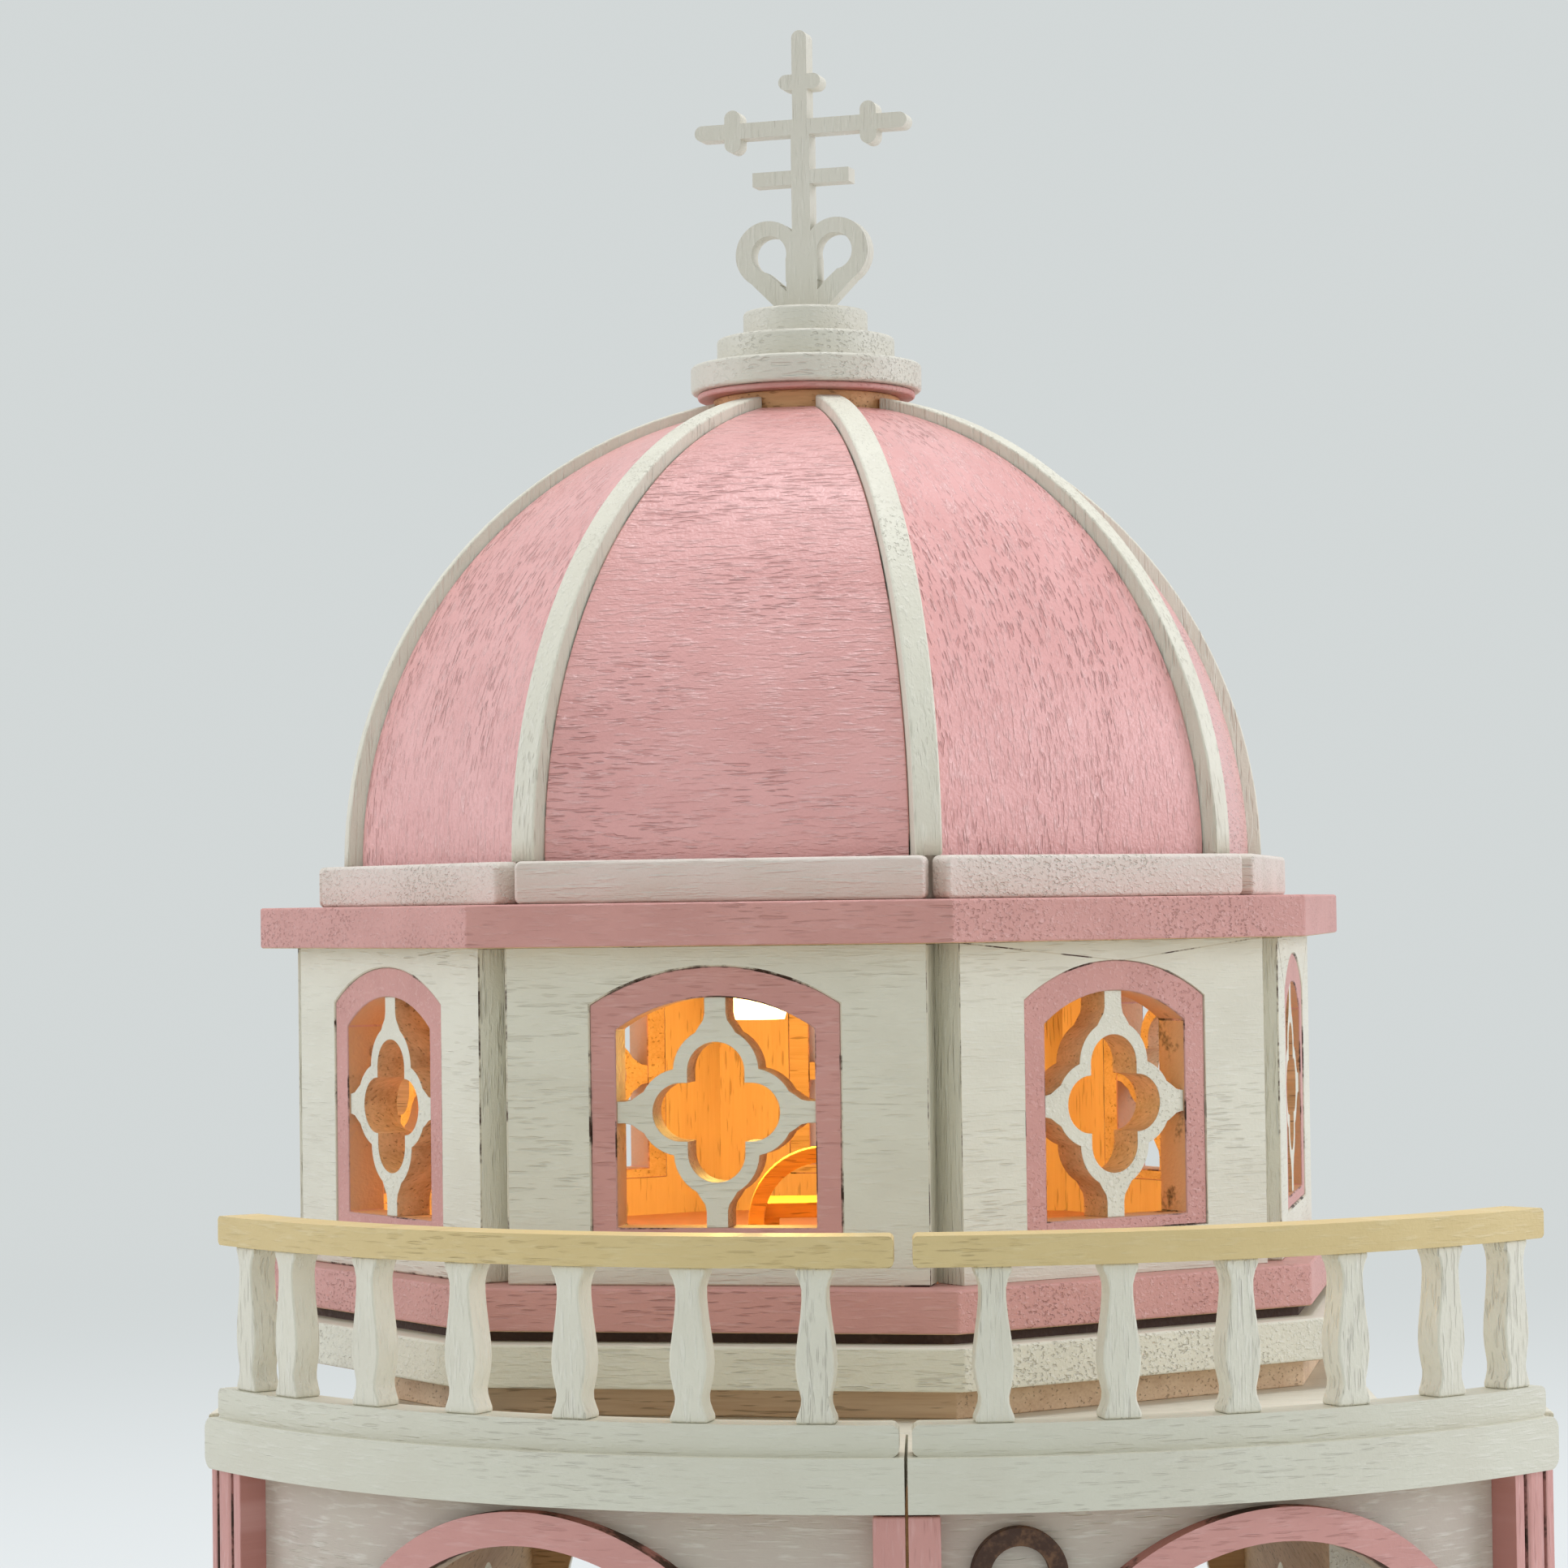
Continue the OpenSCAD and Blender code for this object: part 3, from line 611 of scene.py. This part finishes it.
    def sheet_mesh(self, name: str, points: np.ndarray, chart: np.ndarray) -> bpy.types.Mesh:
        """Makes a mesh of a grid of points, with a map of the flat sheet it was bent from.

        Args:
            name: the mesh's name.
            points: rows by columns by 3.
            chart: rows by columns by 2, in metres on the flat sheet.

        Returns:
            The mesh, its faces towards the side from which the columns run left to right going up.
        """
        rows, columns = points.shape[:2]
        index = np.arange(rows * columns).reshape(rows, columns)
        lower, upper = index[:-1], index[1:]
        corners = [lower[:, :-1], lower[:, 1:], upper[:, 1:], upper[:, :-1]]
        faces = np.stack(corners, axis=-1).reshape(-1, 4)
        mesh = bpy.data.meshes.new(name)
        mesh.from_pydata(points.reshape(-1, 3).tolist(), [], faces.tolist())
        layer = mesh.uv_layers.new(name="sheet")
        layer.data.foreach_set("uv", chart.reshape(-1, 2)[faces.reshape(-1)].ravel())
        mesh.polygons.foreach_set("use_smooth", np.ones(len(faces), bool))
        return mesh


# ---------------------------------------------------------------- the pavilion's plan


@dataclass
class Plan:
    """Where the pavilion stands and how its eight sides face."""

    turn: float = math.radians(-9.2)
    panel: float = 29.5 * MM
    diagonal: float = 26.8 * MM
    axis: np.ndarray = field(init=False)

    SIDES = ("front", "front_right", "right", "back_right", "back", "back_left", "left", "front_left")

    def __post_init__(self) -> None:
        """Takes the axis from the round disc on top of the dome."""
        low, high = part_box("cap_disc_low")
        self.axis = np.array([(low.x + high.x) / 2, (low.y + high.y) / 2])

    def facing(self, side: int) -> float:
        """The turn of a side's own frame about Z, in radians."""
        return self.turn + math.radians(45 * side)

    def outward(self, side: int) -> np.ndarray:
        """The unit vector out of a side."""
        angle = self.facing(side)
        return np.array([math.sin(angle), -math.cos(angle), 0.0])

    def apothem(self, side: int) -> float:
        """How far a side's inner face is from the axis."""
        own, other = (self.diagonal, self.panel) if side % 2 else (self.panel, self.diagonal)
        return (own + math.sqrt(2) * other) / 2

    def corner_reach(self) -> float:
        """How far the corners of the walls' inner faces are from the axis."""
        return math.hypot(self.apothem(0), self.panel / 2)

    def half_angle(self, side: int) -> float:
        """Half of the angle that a side takes at the axis."""
        principal = math.atan2(self.panel / 2, self.apothem(0))
        return principal if side % 2 == 0 else math.radians(45) - principal

    def place(self, points: np.ndarray, side: int) -> np.ndarray:
        """Moves points from a side's own frame, whose -Y faces out, to the model's.

        Args:
            points: any array of points whose last axis is 3.
            side: the side's number, anticlockwise from the front.

        Returns:
            The moved points.
        """
        angle = self.facing(side)
        cos, sin = math.cos(angle), math.sin(angle)
        turned = np.array([[cos, sin, 0.0], [-sin, cos, 0.0], [0.0, 0.0, 1.0]])
        return points @ turned + np.array([self.axis[0], self.axis[1], 0.0])

    def sort_slice(self, side: int) -> Sorter:
        """Sorts a panel's faces: 0 shows outwards, 1 is a cut edge, 2 faces in."""
        out = self.outward(side)

        def sorter(normals: np.ndarray, centres: np.ndarray) -> np.ndarray:
            """The face numbers, from how far each normal points out of the side."""
            facing = normals @ out
            return split(facing, 0, 1, 2)

        return sorter

    def inner_edges(self, side: int) -> Callable[[np.ndarray], np.ndarray]:
        """Picks the edges in the inner face of a wall, where it meets its neighbours."""
        reach = self.apothem(side) + 0.05 * MM
        out = self.outward(side)

        def keep(middles: np.ndarray) -> np.ndarray:
            """The edges whose middles lie at the inner octagon."""
            away = middles - np.array([self.axis[0], self.axis[1], 0.0])
            return away @ out < reach

        return keep

    def sort_round(self, normals: np.ndarray, centres: np.ndarray) -> np.ndarray:
        """Sorts faces all round the pavilion: 0 shows outwards, 1 is a cut edge, 2 faces in."""
        away = centres[:, :2] - self.axis
        angle = np.arctan2(away[:, 0], -away[:, 1]) - self.turn
        side = np.round(angle / math.radians(45)) * math.radians(45) + self.turn
        facing = normals[:, 0] * np.sin(side) - normals[:, 1] * np.cos(side)
        return split(facing, 0, 1, 2)


def split(facing: np.ndarray, towards: int, across: int, away: int) -> np.ndarray:
    """Numbers faces by how far their normals point one way.

    Args:
        facing: the cosine between each face's normal and that way.
        towards: the number of a face that points that way.
        across: the number of one that points neither way.
        away: the number of one that points the other way.

    Returns:
        The face numbers.
    """
    return np.where(facing > FACING, towards, np.where(facing < -FACING, away, across))


def sort_level(normals: np.ndarray, centres: np.ndarray) -> np.ndarray:
    """Sorts a level plate's faces: 0 is its rim, 1 its top and 2 its underside."""
    return split(normals[:, 2], 1, 0, 2)


# ---------------------------------------------------------------- sub-assemblies


@dataclass
class Pavilion:
    """The octagonal room: floor plate, eight walls with their windows, and the chair."""

    bench: Bench
    plan: Plan

    def build(self) -> None:
        """Makes every piece of the room."""
        self.walls()
        self.windows()
        self.floor()
        self.chair()

    def walls(self) -> None:
        """Eight panels: painted outside, mottled on the cut edges, bare inside."""
        paints = self.bench.paints
        for side, name in enumerate(Plan.SIDES):
            lay = Lay(turn=self.plan.facing(side))
            stand = Lay(turn=self.plan.facing(side), upright=True)
            finishes = [
                paints.white("wall_%d" % side, lay, pores=0.5, streaks=0.22),
                paints.white("wall_edge_%d" % side, stand, pores=0.5, relief=0.09),
                paints.bare("wall_back_%d" % side, stand, deep=(0.66, 0.45, 0.24)),
                paints.seam("wall", (0.66, 0.61, 0.48), 0.62),
            ]
            self.bench.soften(
                "wall_" + name,
                finishes,
                self.plan.sort_slice(side),
                0.12 * MM,
                edge=3,
                keep=self.plan.inner_edges(side),
                flat=math.radians(3.0),
            )

    def windows(self) -> None:
        """The pink frames and the white tracery, both bare on their cut sides."""
        paints = self.bench.paints
        lay = Lay(turn=self.plan.turn)
        frames = [
            paints.pink("frame", lay),
            paints.seam("frame_side", (0.62, 0.38, 0.24), 0.72),
            paints.bare("frame_back", lay),
            paints.seam("frame", (0.60, 0.33, 0.29), 0.62),
        ]
        self.bench.soften("window_frames", frames, self.plan.sort_round, 0.10 * MM, edge=3)
        tracery = [
            paints.white("tracery", lay, pores=0.3, streaks=0.3),
            paints.bare("tracery_side", lay, pale=(0.74, 0.52, 0.31), deep=(0.40, 0.24, 0.12)),
            paints.bare("tracery_back", lay),
        ]
        self.bench.soften("window_tracery", tracery, self.plan.sort_round, 0.09 * MM)

    def floor(self) -> None:
        """The floor plate, pink on its rim and bare on top."""
        paints = self.bench.paints
        lay = Lay(turn=self.plan.turn)
        finishes = [
            paints.pink("floor_rim", lay, pores=0.75, relief=0.08),
            paints.pink("floor", lay),
            paints.bare("floor_under", lay),
        ]
        self.bench.soften("pavilion_floor", finishes, sort_level, 0.2 * MM)

    def chair(self) -> None:
        """The hoop-backed chair of golden bare wood."""
        wood = self.bench.paints.bare("chair", Lay(), pale=(0.86, 0.50, 0.08), deep=(0.62, 0.30, 0.04))
        self.bench.soften("hoop_chair", [wood], None, 0.3 * MM, steps=3)


@dataclass
class Roof:
    """The cornice, its ring of strips, the ribbed dome, the stepped cap and the finial."""

    bench: Bench
    plan: Plan
    rib_setback: float = 0.8 * MM
    step: float = 0.7 * MM
    veneer: float = 1.0 * MM
    rib_side: float = 1.1 * MM
    top_radius: float = 8.3 * MM
    rows: int = 72
    columns: int = 33

    def build(self) -> None:
        """Makes every piece of the roof."""
        self.plates()
        self.gores()
        self.cap()
        self.works()

    def plates(self) -> None:
        """The cornice, the ring strips and the ribs."""
        paints = self.bench.paints
        lay = Lay(turn=self.plan.turn)
        cornice = [
            paints.pink("cornice_rim", lay, pores=0.6, relief=0.08),
            paints.pink("cornice_top", lay),
            paints.bare("cornice_under", lay),
        ]
        self.bench.soften("cornice", cornice, sort_level, 0.22 * MM)
        # the strips' paint carries painted pink bounce light from the dome and cornice
        strips = paints.white("strip", lay, colour=Paints.WHITE_PINK_BOUNCE, pores=0.45, relief=0.09)
        self.bench.soften("ring_strips", [strips], None, 0.3 * MM, steps=3)
        ribs = paints.white("rib", Lay(upright=True), pores=0.5, streaks=0.25, relief=0.06)
        self.bench.soften("dome_ribs", [ribs], None, 0.2 * MM)
        self.bench.dress("roof_locator", paints.bare("locator", lay))

    def gores(self) -> None:
        """Eight panels of bent veneer, each with its own lay of the grain."""
        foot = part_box("ring_strips")[0].z
        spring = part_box("ring_strips")[1].z
        for side, name in enumerate(Plan.SIDES):
            mesh = self.gore_mesh("gore_" + name, side, foot, spring)
            lay = Lay(Flow.SHEET, upright=side % 2 == 1)
            paint = PaintedPly(
                "dome_pink_%d" % side,
                Paints.DOME,
                Paints.DOME_SHADE,
                Paints.DOME_LIGHT,
                lay,
                gloss=0.36,
                pores=0.60,
                streaks=0.32,
                relief=0.14,
                coat=0.28,
                short=1.8 if side % 2 else 1.35,
            )
            mesh.materials.append(self.bench.paints.get(paint))
            mesh.materials.append(self.bench.paints.seam("gore", (0.72, 0.36, 0.33), 0.56))
            piece = bpy.data.objects.new("gore_%s_sheet" % name, mesh)
            wall = piece.modifiers.new("veneer", "SOLIDIFY")
            wall.thickness = self.veneer
            wall.offset = -1.0
            wall.use_even_offset = True
            wall.material_offset_rim = 1
            rounding = piece.modifiers.new("rounding", "BEVEL")
            rounding.width = 0.14 * MM
            rounding.segments = 2
            rounding.angle_limit = math.radians(40)
            rounding.harden_normals = True
            self.bench.settle(piece, "gore_" + name)

    def gore_mesh(self, name: str, side: int, foot: float, spring: float) -> bpy.types.Mesh:
        """The outer face of one bent panel.

        Its middle line stands upright from foot to spring and then follows an ellipse, whose flat is the
        cosine of the panel's half angle, so that its edges are circles about the dome's centre. Each row
        runs straight across, its half width being its distance from the axis times the tangent of the
        half angle, less the rib's half thickness. The sheet bows outwards a trace between its edges.

        Args:
            name: the mesh's name.
            side: the panel's number.
            foot: the height of the panel's lower edge.
            spring: the height of the dome's centre.

        Returns:
            The mesh, with the developed sheet as its map.
        """
        half = self.plan.half_angle(side)
        radius = self.plan.corner_reach() - self.rib_setback - self.step
        last = math.acos(self.top_radius / radius)
        upright = (spring - foot) / radius
        path = np.linspace(-upright, last, self.rows)[:, None]
        across = np.linspace(-1.0, 1.0, self.columns)[None, :]
        bend = np.maximum(path, 0.0)
        reach = radius * math.cos(half) * np.cos(bend)
        height = spring + radius * np.where(path < 0, path, np.sin(bend))
        width = reach * math.tan(half) - self.rib_side / math.cos(half)
        bow = 0.06 * MM * (1 - across**2) * np.cos(bend)
        level = np.ones_like(across)
        points = np.stack([width * across, -reach - bow, height * level], axis=-1)
        chart = np.stack([width * across + 0.2 * side, radius * path * level], axis=-1)
        return self.bench.sheet_mesh(name, self.plan.place(points, side), chart)

    def cap(self) -> None:
        """The collar, the pink disc, the three white discs and the cross."""
        paints = self.bench.paints
        lay = Lay(turn=self.plan.turn)
        collar = paints.bare("collar", lay, pale=(0.74, 0.42, 0.19), deep=(0.50, 0.24, 0.09))
        self.bench.soften("dome_collar", [collar], None, 0.15 * MM)
        self.bench.soften("cap_underlay", [paints.pink("underlay", lay)], None, 0.2 * MM)
        disc = paints.white("disc", lay, colour=Paints.DISC, pores=0.3, streaks=0.2, relief=0.08)
        for name in ("cap_disc_low", "cap_disc_middle", "cap_disc_top"):
            self.bench.soften(name, [disc], None, 0.28 * MM, steps=3)
        cross = paints.white("cross", Lay(upright=True), colour=Paints.DISC, pores=0.2, streaks=0.15)
        self.bench.soften("cross_finial", [cross], None, 0.2 * MM, steps=3)

    def works(self) -> None:
        """The lamp under the cornice and the battery box under the dome."""
        paints = self.bench.paints
        self.bench.dress("ceiling_lamp", paints.get(WarmLamp("lamp_glow")))
        self.bench.dress("battery_box", paints.get(Moulded("black_case", (0.03, 0.03, 0.032))))


@dataclass
class Storey:
    """The bow-fronted storey: base, side and back walls, balcony core and the plinth above it."""

    bench: Bench
    plan: Plan

    def build(self) -> None:
        """Makes every fixed piece of the storey."""
        self.shell()
        self.plinth()

    def shell(self) -> None:
        """The base plate, the walls, their trims and the core of the balcony slab."""
        paints = self.bench.paints
        level = Lay()
        deep = Lay(turn=math.radians(90))
        base = [
            paints.bare("base_rim", level, pale=(0.60, 0.40, 0.21), deep=(0.34, 0.19, 0.08)),
            paints.bare("base", level),
            paints.bare("base_under", level),
        ]
        self.bench.soften("base_plate", base, sort_level, 0.2 * MM)
        middle = sum(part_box("side_walls"), Vector()) / 2
        sides = [paints.white("side", deep), paints.bare("side_in", deep), paints.white("side_cut", deep)]
        self.bench.soften("side_walls", sides, self.sort_shell(np.array([middle.x, 0.0]), 0), 0.15 * MM)
        back = [paints.white("back", level), paints.bare("back_in", level), paints.white("back_cut", level)]
        self.bench.soften("back_wall", back, self.sort_shell(np.array([0.0, middle.y]), 1), 0.15 * MM)
        self.bench.soften("side_trims", [paints.pink("side_trim", deep)], None, 0.15 * MM)
        slab = [
            paints.white("slab_rim", level),
            paints.white("slab", level, pores=0.5),
            paints.bare("slab_under", level),
        ]
        self.bench.soften("core_slab", slab, sort_level, 0.18 * MM)
        self.bench.dress("hinge_pins", paints.get(Moulded("brass_wire", (0.72, 0.50, 0.22), 0.3, 1.0)))

    @staticmethod
    def sort_shell(middle: np.ndarray, axis: int) -> Sorter:
        """Sorts upright walls that stand along one axis: 0 faces away from the middle, 1 in, 2 is cut.

        Args:
            middle: a point inside the building.
            axis: the axis the walls face along, 0 for X and 1 for Y.

        Returns:
            The sorter.
        """

        def sorter(normals: np.ndarray, centres: np.ndarray) -> np.ndarray:
            """The face numbers, from which way each normal points along the axis."""
            out = np.sign(centres[:, axis] - middle[axis]) * normals[:, axis]
            return split(out, 0, 2, 1)

        return sorter

    def plinth(self) -> None:
        """The brown riser, the white band and the spacer under the pavilion, painted near black as the
        shade in its gap.
        """
        paints = self.bench.paints
        lay = Lay(turn=self.plan.turn)
        riser = paints.bare("riser", lay, pale=(0.86, 0.66, 0.45), deep=(0.64, 0.43, 0.26))
        self.bench.soften("plinth_riser", [riser], None, 0.12 * MM)
        band = [
            paints.white("band", lay, pores=0.7, relief=0.1),
            paints.white("band_top", lay),
            paints.bare("band_under", lay, pale=(0.60, 0.42, 0.26), deep=(0.40, 0.25, 0.14)),
        ]
        self.bench.soften("plinth_band", band, sort_level, 0.22 * MM)
        # near-black painted shade: the spacer's colour stands in for the shadow in the gap under the floor
        # plate
        self.bench.dress("plinth_spacer", paints.seam("spacer", (0.10, 0.05, 0.03), 0.45))


class Hand(Enum):
    """Which of the two front doors a piece belongs to."""

    LEFT = "left"
    RIGHT = "right"


@dataclass
class Door:
    """One half of the bow front: curved wall, arch, posts and its part of the balcony."""

    bench: Bench
    hand: Hand
    post_radius: float = 58.4 * MM
    groove_depth: float = 0.35 * MM
    meeting_half: float = 0.35 * MM

    def node(self, piece: str) -> str:
        """The CAD node of a piece of this door."""
        return "%s_%s" % (piece, self.hand.value)

    def build(self) -> None:
        """Makes every piece of the door."""
        self.front()
        self.balcony()
        if self.hand is Hand.RIGHT:
            ring = self.bench.paints.seam("ring", (0.17, 0.08, 0.035), 0.55)
            self.bench.soften("wall_ring", [ring], None, 0.25 * MM, steps=3)

    def meeting(self, middles: np.ndarray) -> np.ndarray:
        """Picks the edges where the doors meet, which were cut square."""
        return np.abs(middles[:, 0]) < self.meeting_half

    def sort_bow(self, normals: np.ndarray, centres: np.ndarray) -> np.ndarray:
        """Sorts the bent pieces' faces: 0 shows outwards, 1 is a cut edge, 2 faces in."""
        away = centres[:, :2] / np.linalg.norm(centres[:, :2], axis=1, keepdims=True)
        facing = np.sum(normals[:, :2] * away, axis=1)
        return split(facing, 0, 1, 2)

    def sort_post(self, normals: np.ndarray, centres: np.ndarray) -> np.ndarray:
        """Sorts a post's faces as the others, but the grooves down its face are cut edges."""
        away = np.linalg.norm(centres[:, :2], axis=1)
        outer = self.sort_bow(normals, centres)
        inner_radius = self.post_radius - self.groove_depth - 0.2 * MM
        groove = (away > inner_radius) & (away < self.post_radius - 0.04 * MM)
        groove = groove & (np.abs(normals[:, 2]) < FACING)
        return np.where(groove, 1, np.where(outer == 0, 0, 2))

    def front(self) -> None:
        """The curved wall, the arch's trim, the post and the meeting stile."""
        paints = self.bench.paints
        lay = Lay(Flow.BENT)
        stand = Lay(Flow.BENT, upright=True)
        wall = [
            # the bent wall's paint is darkened with painted shade from the balcony above it
            paints.white("bow_wall_painted_shade", lay, colour=Paints.LOWER_PAINTED_SHADE, pores=0.5),
            paints.seam("bow_cut", (0.60, 0.50, 0.38), 0.62),
            paints.bare("bow_in", lay),
        ]
        self.bench.soften(self.node("door_wall"), wall, self.sort_bow, 0.12 * MM)
        trim = [paints.pink("arch", lay), paints.seam("arch_cut", (0.45, 0.19, 0.16), 0.55)]
        self.bench.soften(
            self.node("door_trim"), trim, lambda n, c: np.minimum(self.sort_bow(n, c), 1), 0.14 * MM
        )
        post = [
            paints.pink("post", stand),
            paints.seam("post_groove", (0.40, 0.17, 0.14), 0.52),
            paints.pink("post_cut", stand, colour=Paints.ROSE, pores=0.8),
        ]
        self.bench.soften(self.node("door_post"), post, self.sort_post, 0.1 * MM)
        stile = [paints.pink("post", stand)]
        self.bench.soften(self.node("door_stile"), stile, None, 0.14 * MM, keep=self.meeting)

    def balcony(self) -> None:
        """The floor, the fascia, the lower rail, the balusters and the handrail."""
        paints = self.bench.paints
        lay = Lay(Flow.BENT)
        floor = [
            paints.white("balcony_rim", lay),
            paints.white("balcony", Lay(), pores=0.5),
            paints.bare("balcony_under", Lay()),
        ]
        self.bench.soften(self.node("door_floor"), floor, sort_level, 0.14 * MM, keep=self.meeting)
        fascia = paints.white("fascia", lay, colour=Paints.RAIL, pores=0.35, streaks=0.15)
        self.bench.soften(
            self.node("fascia"), [fascia], None, 0.22 * MM, steps=3, keep=self.meeting
        )
        rail = paints.white("rail", lay, colour=Paints.RAIL, pores=0.35, streaks=0.15)
        self.bench.soften(self.node("low_rail"), [rail], None, 0.4 * MM, steps=3)
        post = paints.white("baluster", Lay(upright=True), pores=0.3, relief=0.08)
        self.bench.soften(self.node("balusters"), [post], None, 0.38 * MM, steps=3)
        straw = PaintedPly(
            "straw_rail", Paints.STRAW, Paints.STRAW_SHADE, Paints.STRAW_LIGHT, lay, gloss=0.55, relief=0.06
        )
        self.bench.soften(self.node("handrail"), [paints.get(straw)], None, 0.22 * MM)


# ---------------------------------------------------------------- studio


@dataclass(frozen=True)
class Panel:
    """A square soft light: where it stands, its side in metres, its power in watts and its colour."""

    name: str
    place: tuple[float, float, float]
    size: float
    power: float
    colour: Colour


@dataclass
class Studio:
    """A pale floor that fades into a pale backdrop, soft lights and the camera."""

    plan: Plan
    eye: tuple[float, float, float] = (2.1 * MM, -321.9 * MM, 91.0 * MM)
    pan: float = math.radians(-1.99)
    tilt: float = math.radians(1.675)
    roll: float = math.radians(-0.756)
    lens: float = 96.4
    air: Colour = (0.648, 0.684, 0.684)
    floor: Colour = (0.72, 0.74, 0.735)
    floor_radius: float = 6.0
    floor_drop: float = 0.2 * MM
    floor_corners: int = 128
    fade_start: float = 0.25
    fade_end: float = 0.9
    aim_height: float = 0.1
    lamp_drop: float = 3 * MM
    lamp_radius: float = 2 * MM
    lamp_power: float = 0.025
    lamp_colour: Colour = (1.0, 0.71, 0.17)

    PANELS = (
        Panel("left_window", (-0.85, 0.02, 0.30), 0.4, 1.7, (0.93, 0.90, 1.0)),
        Panel("right_window", (0.85, 0.05, 0.30), 0.4, 2.6, (0.93, 0.90, 1.0)),
        Panel("overhead", (0.05, 0.06, 0.95), 0.35, 3.6, (0.98, 0.96, 1.0)),
    )

    def build(self) -> None:
        """Sets up everything that isn't the object."""
        scene = bpy.context.scene
        scene.view_settings.view_transform = "Standard"
        scene.view_settings.look = "None"
        self.surroundings()
        self.lights()
        self.camera()

    def surroundings(self) -> None:
        """The even light of the room, and a round floor whose colour fades into it with distance."""
        world = bpy.data.worlds.new("room")
        world.use_nodes = True
        sky = world.node_tree.nodes["Background"]
        sky.inputs["Color"].default_value = (*self.air, 1.0)
        sky.inputs["Strength"].default_value = 1.0
        bpy.context.scene.world = world
        angle = np.linspace(0, 2 * math.pi, self.floor_corners + 1)[:-1]
        across = self.floor_radius * np.stack([np.cos(angle), np.sin(angle)], axis=-1)
        ring = np.pad(across, ((0, 0), (0, 1)), constant_values=-self.floor_drop)
        mesh = bpy.data.meshes.new("floor")
        mesh.from_pydata(ring.tolist(), [], [list(range(len(ring)))])
        mesh.materials.append(self.floor_finish())
        floor = bpy.data.objects.new("floor", mesh)
        bpy.context.scene.collection.objects.link(floor)

    def floor_finish(self) -> bpy.types.Material:
        """Matt pale paper near the object that turns into the backdrop's even colour further away."""
        shader = Shader("paper")
        place = Lay().place(shader)
        away = shader.node("ShaderNodeVectorMath", {"operation": "LENGTH"}, {0: place}, "Value")
        far = away.ramp(self.fade_start, self.fade_end)
        paper = shader.blend(far, self.floor, (0.0, 0.0, 0.0))
        glow = shader.blend(far, (0.0, 0.0, 0.0), self.air)
        return shader.surface_of(
            Base_Color=paper,
            Roughness=0.9,
            Specular_IOR_Level=0.0,
            Emission_Color=glow,
            Emission_Strength=1.0,
        )

    def hang(self, panel: Panel) -> None:
        """Hangs a soft light so that it faces the pavilion.

        Args:
            panel: the light's facts.
        """
        data = bpy.data.lights.new(panel.name, "AREA")
        data.size = panel.size
        data.energy = panel.power
        data.color = panel.colour
        light = bpy.data.objects.new(panel.name, data)
        target = Vector((self.plan.axis[0], self.plan.axis[1], self.aim_height))
        light.location = panel.place
        light.rotation_euler = (target - Vector(panel.place)).to_track_quat("-Z", "Y").to_euler()
        bpy.context.scene.collection.objects.link(light)

    def lights(self) -> None:
        """Two side windows, one light overhead and the warm lamp in the room."""
        for panel in self.PANELS:
            self.hang(panel)
        low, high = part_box("ceiling_lamp")
        data = bpy.data.lights.new("lamp_light", "POINT")
        data.energy = self.lamp_power
        data.color = self.lamp_colour
        data.shadow_soft_size = self.lamp_radius
        lamp = bpy.data.objects.new("lamp_light", data)
        lamp.location = ((low.x + high.x) / 2, (low.y + high.y) / 2, low.z - self.lamp_drop)
        bpy.context.scene.collection.objects.link(lamp)

    def camera(self) -> None:
        """The camera, a little above the balcony and nearly level."""
        forward = Vector(
            (
                math.sin(self.pan) * math.cos(self.tilt),
                math.cos(self.pan) * math.cos(self.tilt),
                math.sin(self.tilt),
            )
        )
        side = Vector((math.cos(self.pan), -math.sin(self.pan), 0.0))
        rise = side.cross(forward)
        right = side * math.cos(self.roll) + rise * math.sin(self.roll)
        up = rise * math.cos(self.roll) - side * math.sin(self.roll)
        data = bpy.data.cameras.new("camera")
        data.lens = self.lens
        data.sensor_width = 36.0
        data.clip_start = 0.01
        data.clip_end = 50.0
        camera = bpy.data.objects.new("camera", data)
        turn = Matrix((right, up, -forward)).transposed().to_4x4()
        camera.matrix_world = Matrix.Translation(self.eye) @ turn
        bpy.context.scene.collection.objects.link(camera)
        bpy.context.scene.camera = camera


def main() -> None:
    """Builds every sub-assembly in order."""
    logging.basicConfig(level=logging.INFO, format="%(message)s")
    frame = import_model()
    bench = Bench(frame)
    plan = Plan()
    Studio(plan).build()
    Storey(bench, plan).build()
    for hand in Hand:
        Door(bench, hand).build()
    Pavilion(bench, plan).build()
    Roof(bench, plan).build()
    LOG.info("%d pieces finished", bench.done)


if __name__ == "__main__":
    main()
